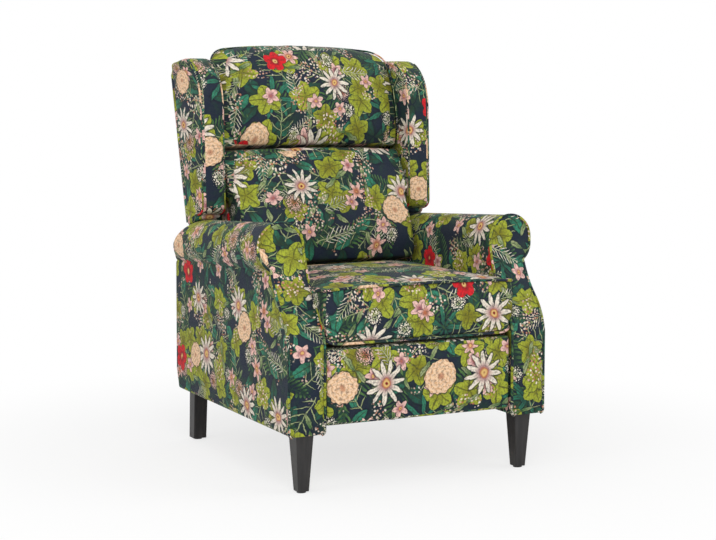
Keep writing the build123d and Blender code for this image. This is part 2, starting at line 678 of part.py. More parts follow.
# ---- pillows of the back --------------------------------------------------------------------------
def pillow_section(up, half, edge, crown):
    """Cross-section of a pillow at one height: flat behind, crowned in front."""
    def at(x, behind):
        return (x, behind, up)

    edges = [
        Line(at(-half, PILLOW_REAR), at(half, PILLOW_REAR)),
        Line(at(half, PILLOW_REAR), at(half, edge)),
        ThreePointArc(at(half, edge), at(0, crown), at(-half, edge)),
        Line(at(-half, edge), at(-half, PILLOW_REAR)),
    ]
    return make_face(Wire(edges))


PILLOW_HALF = 266.0
# one row for each height: up the slope, half width, side edge, middle of the front
lumbar_rows = [
    (108, PILLOW_HALF, -136, -146),
    (140, PILLOW_HALF, -154, -166),
    (215, PILLOW_HALF, -152, -172),
    (330, PILLOW_HALF, -124, -166),
    (400, PILLOW_HALF, -104, -140),
    (CREASE_UP - 3, PILLOW_HALF, -90, -112),
]
head_rows = [
    (CREASE_UP, PILLOW_HALF, -90, -112),
    (455, PILLOW_HALF, -106, -144),
    (530, PILLOW_HALF, -116, -165),
    (610, PILLOW_HALF, -110, -160),
    (675, PILLOW_HALF, -92, -132),
    (BACK_TOP, PILLOW_HALF, -70, -88),
]
lumbar = loft([pillow_section(*row) for row in lumbar_rows])
for side in (-1, 1):
    lumbar -= block(side * (BACK_LOW_HALF + 1), side * 300, -220, 0, 90, 285)
head = loft([pillow_section(*row) for row in head_rows])
keep("lumbar_pillow", back_frame * lumbar)


def head_outline():
    """Front view of the head pillow: straight sides and wide rounded shoulders."""
    def at(x, up):
        return (x, 0, up)

    low = CREASE_UP - 10
    edges = [
        Line(at(-PILLOW_HALF, low), at(PILLOW_HALF, low)),
        Line(at(PILLOW_HALF, low), at(PILLOW_HALF, 640)),
        ThreePointArc(at(PILLOW_HALF, 640), at(247, 676), at(205, 697)),
        ThreePointArc(at(205, 697), at(110, 707), at(0, BACK_TOP)),
        ThreePointArc(at(0, BACK_TOP), at(-110, 707), at(-205, 697)),
        ThreePointArc(at(-205, 697), at(-247, 676), at(-PILLOW_HALF, 640)),
        Line(at(-PILLOW_HALF, 640), at(-PILLOW_HALF, low)),
    ]
    return make_face(Wire(edges))


head &= extrude(head_outline(), amount=220, dir=(0, -1, 0))
head_cap = extrude(back_outline(drop=3.0), amount=80, dir=(0, -1, 0))
head += head_cap & block(1 - PILLOW_HALF, PILLOW_HALF - 1, PILLOW_REAR - 8, -COVER, 662, 720)
keep("head_pillow", back_frame * head)

# ---- links that recline the back as the seat slides forward ---------------------------------------
drive_ends = [DRIVE_LOW, DRIVE_HIGH]
drive_link = plate(BASE_PLATE_X, 16, *drive_ends, holes=drive_ends, hole=SMALL_PIN + FIXED)
drive_pins = [rod(end, SMALL_PIN, SWING_X, BASE_PLATE_X + SHEET) for end in drive_ends]
keep("back_drive_links", drive_link, other_side(drive_link))
keep("back_drive_pins", *drive_pins, *[other_side(one) for one in drive_pins])

# ---- export -----------------------------------------------------------------------------------------
os.makedirs("parts", exist_ok=True)
to_centre = Pos(0, -DEPTH / 2, 0)
for name, solids in nodes.items():
    moved = [to_centre * solid for solid in solids]
    piece = moved[0] if len(moved) == 1 else Compound(children=moved)
    export_step(piece, f"parts/{name}.step")
print(len(nodes), "pieces written")
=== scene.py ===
import json
from math import cos, pi, radians, sin

import bmesh
import bpy
import numpy as np
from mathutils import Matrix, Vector


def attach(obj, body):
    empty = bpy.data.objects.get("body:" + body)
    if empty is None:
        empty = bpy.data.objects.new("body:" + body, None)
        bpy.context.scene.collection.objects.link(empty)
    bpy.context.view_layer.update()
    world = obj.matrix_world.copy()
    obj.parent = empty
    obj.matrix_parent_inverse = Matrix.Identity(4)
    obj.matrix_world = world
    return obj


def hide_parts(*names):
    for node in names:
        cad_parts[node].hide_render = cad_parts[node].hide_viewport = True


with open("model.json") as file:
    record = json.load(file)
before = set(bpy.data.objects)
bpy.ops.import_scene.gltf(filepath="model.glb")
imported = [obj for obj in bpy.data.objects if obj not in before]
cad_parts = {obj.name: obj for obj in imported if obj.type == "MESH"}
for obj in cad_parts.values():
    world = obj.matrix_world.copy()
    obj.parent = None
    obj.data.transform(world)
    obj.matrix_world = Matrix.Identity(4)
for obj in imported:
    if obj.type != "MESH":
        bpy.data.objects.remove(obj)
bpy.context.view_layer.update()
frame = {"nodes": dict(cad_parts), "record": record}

bl_info = {
    "name": "Wingback recliner upholstery",
    "version": (1, 0, 0),
    "blender": (4, 5, 0),
    "location": "3D view, sidebar, Recliner",
    "description": "Covers, pads and pipes a wingback recliner frame and gives every part its finish",
    "category": "Object",
}

# ---- driving dimensions ----------------------------------------------------------------
# Millimetres. x runs to the sitter's left and z up from the floor. y runs backward from
# the front plane of the arms, which lies half the depth in front of the origin.
MM = 0.001
FRONT_PLANE = -395.0
ARM_INNER = 254.0
ARM_OUTER = 345.0
ROLL_OUTER = 371.5
ROLL_CENTRE = 315.0
ROLL_INNER = 257.0
BASE_BOTTOM = 140.0
ARM_TOP = 631.0              # top of the roll in the front plane
CREASE = 519.0               # seam under the roll in the front plane
ROLL_MIDDLE = (ARM_TOP + CREASE) / 2
ROLL_RISE = ARM_TOP - ROLL_MIDDLE
ARM_SLOPES = ((BASE_BOTTOM, CREASE, ARM_TOP), (0.0, -0.0435, -0.0483))
FACING_BACK = 8.0

SEAT_HALF = 249.0
SEAT_FRONT = 5.0
SEAT_REAR = 524.0
SEAT_SEAM = 474.0            # height of the piping along the seat's top front edge, at its ends
SEAT_CORNER = 10.0
BORDER_SEAM = 348.0          # height of the piping along its lower front edge
BORDER_REAR = 56.0
CUSHION_BOTTOM = 398.0

BACK_LEAN = radians(15.0)
BACK_FOOT = (606.0, 350.0)
PILLOW_HALF = 266.0
PILLOW_LOW_HALF = 249.0
PILLOW_REAR = -60.0
PILLOW_STEP = 285.0          # height where the back grows wider, above the arms
CREASE_UP = 427.0
BACK_TOP = 709.0
WING_INNER = 268.0
WING_OUTER = 336.0
COVER = 12.0

FOOT_HALF = 248.0
FOOT_BOTTOM = 161.0
FOOT_TOP = 337.0
FOOT_FRONT = 6.0
FOOT_REAR = 42.0

WING_LOW = 592.0
WING_HIGH = 1021.0
WING_EDGE = 9.0              # radius of the wing's upper and lower edges
WING_RISE = 10.0             # how far its bottom rises at the front and falls at the rear

APRON_LOW = 145.5
APRON_HIGH = 329.5
APRON_MIDDLE = 237.0
APRON_REACH = 93.0

QUARTER = 0.293              # how far a quarter circle's middle lies in from its corner
PIPE = 3.3                   # radius of the pipings
THIN_PIPE = 2.4

LAMPS = {                    # place, size and power of each
    "key": ((-1.8, -3.8, 2.8), 3.0, 118.0),
    "side": ((-4.0, -0.8, 2.2), 2.5, 50.0),
    "fill": ((3.2, -2.4, 2.2), 3.0, 48.0),
    "top": ((0.0, 0.6, 4.0), 3.5, 30.0),
}
LAMP_TARGET = (0.0, 0.0, 0.5)
FLOOR_REACH = 30.0
CAMERA_PLACE = (-1.8009, -3.6497, 0.8971)
CAMERA_TURN = (84.078, 0.0, -26.615)
CAMERA_LENS = 79.57

# ---- points and outlines ---------------------------------------------------------------


def place(x, y, z):
    """Points in metres from millimetres: x across, y behind the front plane, z above the floor."""
    parts = np.broadcast_arrays(x, np.add(y, FRONT_PLANE), z)
    return np.stack(parts, axis=-1) * MM


def lean(x, behind, up):
    """Points in metres on the leaning back: up along its rear plane, behind at right angles to it."""
    up, behind = np.asarray(up, float), np.asarray(behind, float)
    y = BACK_FOOT[0] + up * sin(BACK_LEAN) + behind * cos(BACK_LEAN)
    z = BACK_FOOT[1] + up * cos(BACK_LEAN) - behind * sin(BACK_LEAN)
    return place(x, y, z)


def unlean(points):
    """x, behind and up in millimetres of points in metres: the inverse of lean."""
    x = points[..., 0] / MM
    y = points[..., 1] / MM - FRONT_PLANE - BACK_FOOT[0]
    z = points[..., 2] / MM - BACK_FOOT[1]
    behind = y * cos(BACK_LEAN) - z * sin(BACK_LEAN)
    up = y * sin(BACK_LEAN) + z * cos(BACK_LEAN)
    return x, behind, up


def unplace(points):
    """x, y and z in millimetres of points in metres: the inverse of place."""
    return points[..., 0] / MM, points[..., 1] / MM - FRONT_PLANE, points[..., 2] / MM


def line(start, end, count=12):
    """Points spaced evenly on a straight line."""
    share = np.linspace(0, 1, count)[:, None]
    return np.array(start, float) * (1 - share) + np.array(end, float) * share


def arc(start, middle, end, count=24):
    """Points of the circle through three points. Its centre is where the lines through the
    chords' middles cross, and the angle runs evenly from start past middle to end."""
    (ax, ay), (bx, by), (cx, cy) = start, middle, end
    squares = np.array([ax * ax + ay * ay, bx * bx + by * by, cx * cx + cy * cy])
    twice = 2 * (ax * (by - cy) + bx * (cy - ay) + cx * (ay - by))
    ux = squares @ np.array([by - cy, cy - ay, ay - by]) / twice
    uy = squares @ np.array([cx - bx, ax - cx, bx - ax]) / twice
    first, passing, last = np.arctan2([ay - uy, by - uy, cy - uy], [ax - ux, bx - ux, cx - ux])
    turn = (last - first) % (2 * pi)
    if (passing - first) % (2 * pi) > turn:
        turn -= 2 * pi
    angles = first + turn * np.linspace(0, 1, count)
    radius = np.hypot(ax - ux, ay - uy)
    return np.stack([ux + radius * np.cos(angles), uy + radius * np.sin(angles)], axis=1)


def chain(*runs):
    """Runs of points joined end to end, with each shared point kept once."""
    return np.concatenate([runs[0]] + [run[1:] for run in runs[1:]])


def lengths(points):
    """Running length along a row of points, from 0 at the first."""
    steps = np.linalg.norm(np.diff(points, axis=0), axis=1)
    return np.concatenate([[0.0], np.cumsum(steps)])


def even(points, count):
    """The same route with its points spaced evenly by length."""
    run = lengths(points)
    marks = np.linspace(0, run[-1], count)
    return np.stack([np.interp(marks, run, column) for column in points.T], axis=1)


def rise_and_fall(share, power=2.0):
    """1 in the middle of a span from -1 to 1 and 0 at its ends: one less the share's power."""
    return 1 - np.abs(share) ** power


def smooth_step(low, high, value):
    """0 below low, 1 above high, and three t squared less two t cubed between them."""
    t = np.clip((value - low) / (high - low), 0, 1)
    return t * t * (3 - 2 * t)


# ---- meshes ----------------------------------------------------------------------------


def finish_mesh(mesh, merge=0.0001, sharp=40.0):
    """Merge points that coincide, turn the faces outward, and shade all but sharp folds smooth."""
    work = bmesh.new()
    work.from_mesh(mesh)
    bmesh.ops.remove_doubles(work, verts=work.verts, dist=merge)
    bmesh.ops.recalc_face_normals(work, faces=work.faces)
    work.to_mesh(mesh)
    work.free()
    mesh.shade_smooth()
    mesh.set_sharp_from_angle(angle=radians(sharp))
    return mesh


def new_object(name, data):
    """An object at the origin that holds a mesh, a lamp or a camera, linked to the scene."""
    piece = bpy.data.objects.new(name, data)
    bpy.context.scene.collection.objects.link(piece)
    return piece


def quads(rows, columns, wrap):
    """Corner indices of the cells of a grid of points; wrap joins the last column to the first."""
    row = np.arange(rows - 1)[:, None]
    column = np.arange(columns if wrap else columns - 1)[None, :]
    after = (column + 1) % columns
    low, high = row * columns, (row + 1) * columns
    return np.stack([low + column, low + after, high + after, high + column], axis=-1).reshape(-1, 4)


def grid_piece(name, grids, uvs, wraps, merge=0.0001, sharp=40.0):
    """One mesh from several grids of points, each cell a four-sided face with its own cloth
    coordinates in metres. A grid that wraps has one more column of coordinates than of points."""
    points, faces, corners, offset = [], [], [], 0
    for grid, uv, wrap in zip(grids, uvs, wraps):
        rows, columns = grid.shape[:2]
        cells = quads(rows, columns, wrap)
        flat = np.arange(len(cells))
        width = columns if wrap else columns - 1
        row, column = flat // width, flat % width
        quad_uv = [uv[row, column], uv[row, column + 1], uv[row + 1, column + 1], uv[row + 1, column]]
        points.append(grid.reshape(-1, 3))
        faces.append(cells + offset)
        corners.append(np.stack(quad_uv, axis=1).reshape(-1, 2))
        offset += rows * columns
    mesh = bpy.data.meshes.new(name)
    mesh.from_pydata(np.concatenate(points), [], np.concatenate(faces))
    layer = mesh.uv_layers.new(name="cloth")
    layer.data.foreach_set("uv", np.concatenate(corners).astype(np.float32).ravel())
    finish_mesh(mesh, merge, sharp)
    return new_object(name, mesh)


def capped(rings):
    """The rings with each end drawn together in one point, so that the mesh is closed."""

    def drawn_in(row):
        return np.repeat(row.mean(axis=1, keepdims=True), rings.shape[1], axis=1)

    return np.concatenate([drawn_in(rings[:1]), rings, drawn_in(rings[-1:])])


def closed_uv(rings, shift=(0.0, 0.0)):
    """Cloth coordinates of a wrapped grid: length round each ring and length along its first column."""
    closed = np.concatenate([rings, rings[:, :1]], axis=1)
    round_steps = np.linalg.norm(np.diff(closed, axis=1), axis=2).mean(axis=0)
    around = np.concatenate([[0.0], np.cumsum(round_steps)])
    steps = np.linalg.norm(np.diff(rings, axis=0), axis=2).mean(axis=1)
    along = np.concatenate([[0.0], np.cumsum(steps)])
    u, v = np.meshgrid(around + shift[0], along + shift[1])
    return np.stack([u, v], axis=-1)


def plain_uv(u, v):
    """Cloth coordinates in metres from two arrays in millimetres."""
    return np.stack(np.broadcast_arrays(u, v), axis=-1) * MM


def ring_piece(name, rings, shift=(0.0, 0.0)):
    """A closed mesh from rings of points, with its ends drawn together."""
    rings = capped(rings)
    return grid_piece(name, [rings], [closed_uv(rings, shift)], [True])


def read_points(rows, field="co"):
    """A vector of each vertex or face of a mesh: its place, its normal or its centre."""
    flat = np.empty(len(rows) * 3)
    rows.foreach_get(field, flat)
    return flat.reshape(-1, 3)


def tube_piece(name, path, radius, sides=10, up=(0.0, 1.0, 0.0), shift=(0.0, 0.0)):
    """A cord of even thickness: at each point of the path a ring stands square to the route,
    turned to a fixed direction that the route never follows. Its ends are drawn together."""
    tangent = np.gradient(path, axis=0)
    tangent /= np.linalg.norm(tangent, axis=1, keepdims=True)
    across = np.cross(tangent, np.array(up))
    across /= np.linalg.norm(across, axis=1, keepdims=True)
    over = np.cross(across, tangent)
    angle = (np.arange(sides) * 2 * pi / sides)[None, :, None]
    ring = np.cos(angle) * across[:, None] + np.sin(angle) * over[:, None]
    marks = np.pad(np.arange(len(path)), 1, mode="edge")
    radii = np.pad(np.full(len(path), radius * MM), 1)
    rings = path[marks][:, None] + ring[marks] * radii[:, None, None]
    return grid_piece(name, [rings], [closed_uv(rings, shift)], [True], merge=0.00001, sharp=80.0)


def panel_uv(piece, panels, measure):
    """Cloth coordinates for a remeshed piece. measure turns points into three coordinates in
    millimetres, and panels gives from these a row for each panel: the distance from it and its
    two cloth coordinates. A face belongs to the nearest panel."""
    mesh = piece.data
    corner_vertex = np.empty(len(mesh.loops), int)
    mesh.loops.foreach_get("vertex_index", corner_vertex)
    totals = np.empty(len(mesh.polygons), int)
    mesh.polygons.foreach_get("loop_total", totals)
    distances = [row[0] for row in panels(*measure(read_points(mesh.polygons, "center")))]
    chosen = np.repeat(np.argmin(distances, axis=0), totals)
    charts = np.array([row[1:] for row in panels(*measure(read_points(mesh.vertices)))])
    uv = charts[chosen, :, corner_vertex] * MM
    layer = mesh.uv_layers.get("cloth") or mesh.uv_layers.new(name="cloth")
    layer.data.foreach_set("uv", uv.astype(np.float32).ravel())


def baked_mesh(piece):
    """A plain mesh of the piece with its modifiers worked in."""
    bpy.context.view_layer.update()
    graph = bpy.context.evaluated_depsgraph_get()
    return bpy.data.meshes.new_from_object(piece.evaluated_get(graph))


def swap_mesh(piece, mesh):
    """Give the piece another mesh and drop its modifiers and its old mesh."""
    old = piece.data
    piece.modifiers.clear()
    piece.data = mesh
    bpy.data.meshes.remove(old)


CLOTH = {
    "quality": 4, "mass": 0.3, "tension_stiffness": 18, "compression_stiffness": 18,
    "shear_stiffness": 6, "bending_stiffness": 0.4, "use_pressure": True,
    "uniform_pressure_force": 4.0,
}
CLOTH_FRAMES = 20


def inflate(piece, held, measure, voxel, cap):
    """Puff a closed mesh like a filled cover: an even remesh, some frames of cloth under inner
    pressure with the held points fixed, each point's movement capped, then one subdivision."""
    remesh = piece.modifiers.new("even", "REMESH")
    remesh.mode = "VOXEL"
    remesh.voxel_size = voxel * MM
    swap_mesh(piece, baked_mesh(piece))
    start = read_points(piece.data.vertices)
    group = piece.vertex_groups.new(name="held")
    group.add(np.flatnonzero(held(*measure(start))).tolist(), 1.0, "REPLACE")
    cloth = piece.modifiers.new("puff", "CLOTH")
    for name, value in CLOTH.items():
        setattr(cloth.settings, name, value)
    cloth.settings.effector_weights.gravity = 0
    cloth.settings.vertex_group_mass = group.name
    for step in range(1, CLOTH_FRAMES + 1):
        bpy.context.scene.frame_set(step)
    moved = baked_mesh(piece)
    shift = read_points(moved.vertices) - start
    size = np.linalg.norm(shift, axis=1, keepdims=True)
    shift *= np.minimum(1.0, cap * MM / np.maximum(size, 1e-9))
    bpy.data.meshes.remove(moved)
    piece.modifiers.clear()
    piece.vertex_groups.clear()
    bpy.context.scene.frame_set(1)
    piece.data.vertices.foreach_set("co", (start + shift).ravel())
    smooth = piece.modifiers.new("even out", "SMOOTH")
    smooth.factor = 0.5
    smooth.iterations = 3
    finer = piece.modifiers.new("finer", "SUBSURF")
    finer.levels = finer.render_levels = 1
    swap_mesh(piece, baked_mesh(piece))
    piece.data.shade_smooth()


CREASE_WAVES = ((9.5, 0.0), (15.3, 2.0), (24.1, 4.0))    # length in millimetres, and phase
CREASE_FADE = 30.0


def wrinkled(piece, seam_distance, measure, height):
    """Creases that pull from the seams: along the normal, a sum of sines of the run along the
    seam, with a slow phase shift, that fades with the distance, and slow hollows over all."""
    mesh = piece.data
    points, normals = read_points(mesh.vertices), read_points(mesh.vertices, "normal")
    away, run = seam_distance(*measure(points))
    sway = 9 * np.sin(run / 57.0) + 0.35 * away * np.sin(run / 83.0 + 1.0)
    waves = sum(np.sin((run + sway) / step + phase) for step, phase in CREASE_WAVES)
    offset = height / 2 * waves * np.exp(-np.maximum(away, 0) / CREASE_FADE)
    x, _, z = points.T
    offset -= 1.5 * height * np.sin(x * 9 + 2 * np.sin(z * 7)) * np.sin(z * 11)
    offset *= smooth_step(0, 12, away) * MM
    mesh.vertices.foreach_set("co", (points + normals * offset[:, None]).ravel())
    mesh.update()


def filled_piece(name, rings, measure, held, seam_distance, panels, creases, cap, voxel=5.5):
    """A pad filled by the cloth simulation, creased from its seams, with cloth on each panel.
    held, seam_distance and panels take the three coordinates that measure gives."""
    piece = ring_piece(name, rings)
    inflate(piece, held, measure, voxel, cap)
    wrinkled(piece, seam_distance, measure, creases)
    panel_uv(piece, panels, measure)
    return piece


# ---- shader building -------------------------------------------------------------------


class Term:
    """One output of a node. Arithmetic on it adds math nodes to the same tree."""

    def __init__(self, wires, socket):
        self.wires = wires
        self.socket = socket

    def __add__(self, other):
        return self.wires.math("ADD", self, other)

    def __sub__(self, other):
        return self.wires.math("SUBTRACT", self, other)

    def __rsub__(self, other):
        return self.wires.math("SUBTRACT", other, self)

    def __mul__(self, other):
        return self.wires.math("MULTIPLY", self, other)

    def __truediv__(self, other):
        return self.wires.math("DIVIDE", self, other)

    def __rtruediv__(self, other):
        return self.wires.math("DIVIDE", other, self)

    def __pow__(self, other):
        return self.wires.math("POWER", self, other)

    def __abs__(self):
        return self.wires.math("ABSOLUTE", self)

    def __lt__(self, other):
        return self.wires.math("LESS_THAN", self, other)

    __radd__ = __add__
    __rmul__ = __mul__


class Outputs:
    """A node's outputs as terms, by name, by place or in a row."""

    def __init__(self, wires, node):
        self.wires = wires
        self.node = node

    def __getitem__(self, key):
        return Term(self.wires, self.node.outputs[key])


class Wires:
    """Adds nodes to one tree."""

    def __init__(self, tree):
        self.tree = tree

    def put(self, socket, value):
        """Link a term to the socket, or set the socket's own value."""
        if isinstance(value, Term):
            self.tree.links.new(value.socket, socket)
        elif isinstance(value, (tuple, list)) and len(value) == 3 and socket.type == "RGBA":
            socket.default_value = (*value, 1.0)
        else:
            socket.default_value = value

    def feed(self, node, values):
        """Put a dict, or a row, of values on a node's inputs. Returns the node's outputs."""
        pairs = values.items() if isinstance(values, dict) else enumerate(values)
        for key, value in pairs:
            self.put(node.inputs[key], value)
        return Outputs(self, node)

    def node(self, kind, values=(), **settings):
        """A new node of a kind with its settings and input values."""
        made = self.tree.nodes.new(kind)
        for name, value in settings.items():
            setattr(made, name, value)
        return self.feed(made, values)

    def group(self, name, values):
        """An instance of a node group, with input values by name."""
        return self.node("ShaderNodeGroup", values, node_tree=bpy.data.node_groups[name])

    def math(self, operation, *values, clamp=False):
        return self.node("ShaderNodeMath", values, operation=operation, use_clamp=clamp)[0]

    def vector(self, operation, *values):
        made = self.node("ShaderNodeVectorMath", operation=operation).node
        for socket, value in zip([s for s in made.inputs if s.enabled], values):
            self.put(socket, value)
        return Term(self, next(s for s in made.outputs if s.enabled))

    def mix(self, factor, first, second, blend="MIX"):
        """Colour between two colours, or the second laid over the first in a blend mode."""
        row = {0: factor, 6: first, 7: second}
        return self.node("ShaderNodeMix", row, data_type="RGBA", blend_type=blend)[2]

    def between(self, value, low, high, to_low=0.0, to_high=1.0, smooth=True):
        """The value's place between low and high, held at both ends."""
        kind = "SMOOTHSTEP" if smooth else "LINEAR"
        row = {
            "Value": value, "From Min": low, "From Max": high, "To Min": to_low, "To Max": to_high,
        }
        return self.node("ShaderNodeMapRange", row, interpolation_type=kind, clamp=True)[0]

    def split(self, vector):
        return self.node("ShaderNodeSeparateXYZ", (vector,))

    def noise(self, vector, scale, detail=2.0, roughness=0.5, dimensions="3D"):
        row = {"Vector": vector, "Scale": scale, "Detail": detail, "Roughness": roughness}
        return self.node("ShaderNodeTexNoise", row, noise_dimensions=dimensions)

    def cells(self, vector, scale, jitter):
        """Flat Voronoi cells: distance from the cell's middle, the cell's colour, its middle."""
        row = {"Vector": vector, "Scale": scale, "Randomness": jitter}
        return self.node("ShaderNodeTexVoronoi", row, voronoi_dimensions="2D", feature="F1")

    def here(self):
        """Place in the object's own coordinates."""
        return self.node("ShaderNodeTexCoord")["Object"]

    def bump(self, height, strength, distance, **more):
        """A normal bent by a height."""
        row = {"Height": height, "Strength": strength, "Distance": distance, **more}
        return self.node("ShaderNodeBump", row)[0]


SOCKETS = {"f": "NodeSocketFloat", "v": "NodeSocketVector", "c": "NodeSocketColor"}


def new_group(name, inputs, outputs):
    """An empty shader group. Its inputs are rows of name, kind and default, its outputs rows of
    name and kind. Returns its wires, its inputs as terms and its output node."""
    tree = bpy.data.node_groups.new(name, "ShaderNodeTree")
    for label, kind, default in inputs:
        socket = tree.interface.new_socket(label, in_out="INPUT", socket_type=SOCKETS[kind])
        if default is not None:
            socket.default_value = (*default, 1.0) if kind == "c" else default
    for label, kind in outputs:
        tree.interface.new_socket(label, in_out="OUTPUT", socket_type=SOCKETS[kind])
    wires = Wires(tree)
    entry = tree.nodes.new("NodeGroupInput")
    return wires, Outputs(wires, entry), tree.nodes.new("NodeGroupOutput")


def build_scatter():
    """Scattered places on the cloth: Voronoi cells give each motif a middle, a turn and a tone."""
    inputs = [
        ("Vector", "v", None), ("Shift", "v", None), ("Spacing", "f", 0.2), ("Jitter", "f", 0.5),
        ("Size", "f", 0.05), ("Vary", "f", 0.2),
    ]
    outputs = [("Local", "v"), ("Pick", "f"), ("Tone", "f")]
    wires, entry, leave = new_group("Scatter", inputs, outputs)
    moved = wires.vector("ADD", entry["Vector"], entry["Shift"])
    cells = wires.cells(moved, 1.0 / entry["Spacing"], entry["Jitter"])
    offset = wires.vector("SUBTRACT", moved, cells["Position"])
    random = wires.node("ShaderNodeSeparateColor", (cells["Color"],))
    row = {"Vector": offset, "Angle": random[0] * (2 * pi)}
    turned = wires.node("ShaderNodeVectorRotate", row, rotation_type="Z_AXIS")[0]
    size = entry["Size"] * ((random[1] - 0.5) * entry["Vary"] + 1.0)
    sizes = wires.node("ShaderNodeCombineXYZ", (size, size, size))[0]
    local = wires.vector("DIVIDE", turned, sizes)
    wires.feed(leave, {"Local": local, "Pick": random[1], "Tone": random[2]})


# Every motif's group gives its mask, a halo round it, and two shares inside the motif: one from
# its heart to its tip and one from its middle line to its edge.
MOTIF = [("Mask", "f"), ("Halo", "f"), ("Along", "f"), ("Across", "f")]
LEAST = 0.02                     # keeps a division by a motif's width finite


def build_rays():
    """Leaves or petals round a middle: the plane is folded into equal sectors, and in each one a
    ray lies along the sector's axis, as wide as a power of the parabola over its length. Gap is
    how far a point lies inside the ray's edge."""
    inputs = [
        ("Local", "v", None), ("Count", "f", 5.0), ("Width", "f", 0.3), ("Blunt", "f", 1.0),
        ("Edge", "f", 0.04),
    ]
    wires, entry, leave = new_group("Rays", inputs, MOTIF)
    x, y, _ = wires.split(entry["Local"])
    radius = wires.math("SQRT", x * x + y * y)
    turns = wires.math("ARCTAN2", y, x) / (2 * pi)
    sector = wires.math("FRACT", turns * entry["Count"] + 10.5)
    angle = (sector - 0.5) / entry["Count"] * (2 * pi)
    along = radius * wires.math("COSINE", angle)
    across = radius * wires.math("SINE", angle)
    arch = wires.math("MAXIMUM", along * (1.0 - along) * 4.0, 0.0)
    half = entry["Width"] * arch ** entry["Blunt"]
    gap = half - abs(across)
    row = {
        "Mask": wires.between(gap, 0.0, entry["Edge"]) * (along < 1.0),
        "Halo": wires.between(gap, -0.09, 0.0) * (along < 1.06),
        "Along": along,
        "Across": across / wires.math("MAXIMUM", half, LEAST),
    }
    wires.feed(leave, row)


def build_sprig():
    """A stem with paired side shoots: shoots repeat along the stem, slant forward, and are as
    long as the sprig is wide there; each is as thick as its own arch allows."""
    inputs = [
        ("Local", "v", None), ("Shoots", "f", 5.0), ("Slant", "f", 0.9), ("Width", "f", 0.45),
        ("Thick", "f", 0.6),
    ]
    wires, entry, leave = new_group("Sprig", inputs, MOTIF)
    x, y, _ = wires.split(entry["Local"])
    side, square = abs(y), x * x
    reach = entry["Width"] * wires.math("MAXIMUM", 1.0 - square, 0.0)
    share = side / wires.math("MAXIMUM", reach, 0.001)
    phase = wires.math("FRACT", (x - side * entry["Slant"]) * entry["Shoots"] + 10.0)
    away = abs(phase - 0.5) * 2.0
    body = share * (1.0 - share) * 4.0
    room = entry["Thick"] * wires.math("SQRT", wires.math("MAXIMUM", body, 0.0))
    gap = room - away
    within = share < 1.0
    stem = wires.between(0.03 - side, 0.0, 0.02) * (square < 0.95)
    row = {
        "Mask": wires.math("MAXIMUM", wires.between(gap, 0.0, 0.12) * within, stem),
        "Halo": wires.between(gap, -0.35, 0.0) * within,
        "Along": share,
        "Across": away / wires.math("MAXIMUM", room, LEAST),
    }
    wires.feed(leave, row)


def build_ruffle():
    """A round, full blossom: the rim is scalloped, and nested rings of scallops darken inward."""
    inputs = [("Local", "v", None), ("Scallops", "f", 13.0), ("Rings", "f", 4.0)]
    wires, entry, leave = new_group("Ruffle", inputs, MOTIF)
    x, y, _ = wires.split(entry["Local"])
    radius = wires.math("SQRT", x * x + y * y)
    wave = wires.math("SINE", wires.math("ARCTAN2", y, x) * entry["Scallops"]) * 0.03
    gap = wave + 0.94 - radius
    rough = wires.noise(entry["Local"], 5.0, 3.0)[0] * 1.1
    steps = radius * entry["Rings"] + rough + wave * 6.0
    row = {
        "Mask": wires.between(gap, 0.0, 0.04),
        "Halo": wires.between(gap, -0.10, 0.0),
        "Along": radius,
        "Across": wires.math("FRACT", steps),
    }
    wires.feed(leave, row)


def build_lace():
    """A head of tiny blossoms: dots of a fine Voronoi pattern inside a circle, each dot fading
    from its middle, thinner toward the rim."""
    inputs = [("Local", "v", None), ("Dots", "f", 6.0)]
    wires, entry, leave = new_group("Lace", inputs, MOTIF)
    radius = wires.vector("LENGTH", entry["Local"])
    dots = wires.cells(entry["Local"], entry["Dots"], 0.8)["Distance"]
    room = wires.between(radius, 0.55, 1.0, 0.46, 0.10)
    row = {
        "Mask": wires.between(room - dots, 0.0, 0.10) * (radius < 1.0),
        "Halo": wires.between(radius, 0.75, 1.05, 0.8, 0.0),
        "Along": radius,
        "Across": dots / wires.math("MAXIMUM", room, LEAST),
    }
    wires.feed(leave, row)


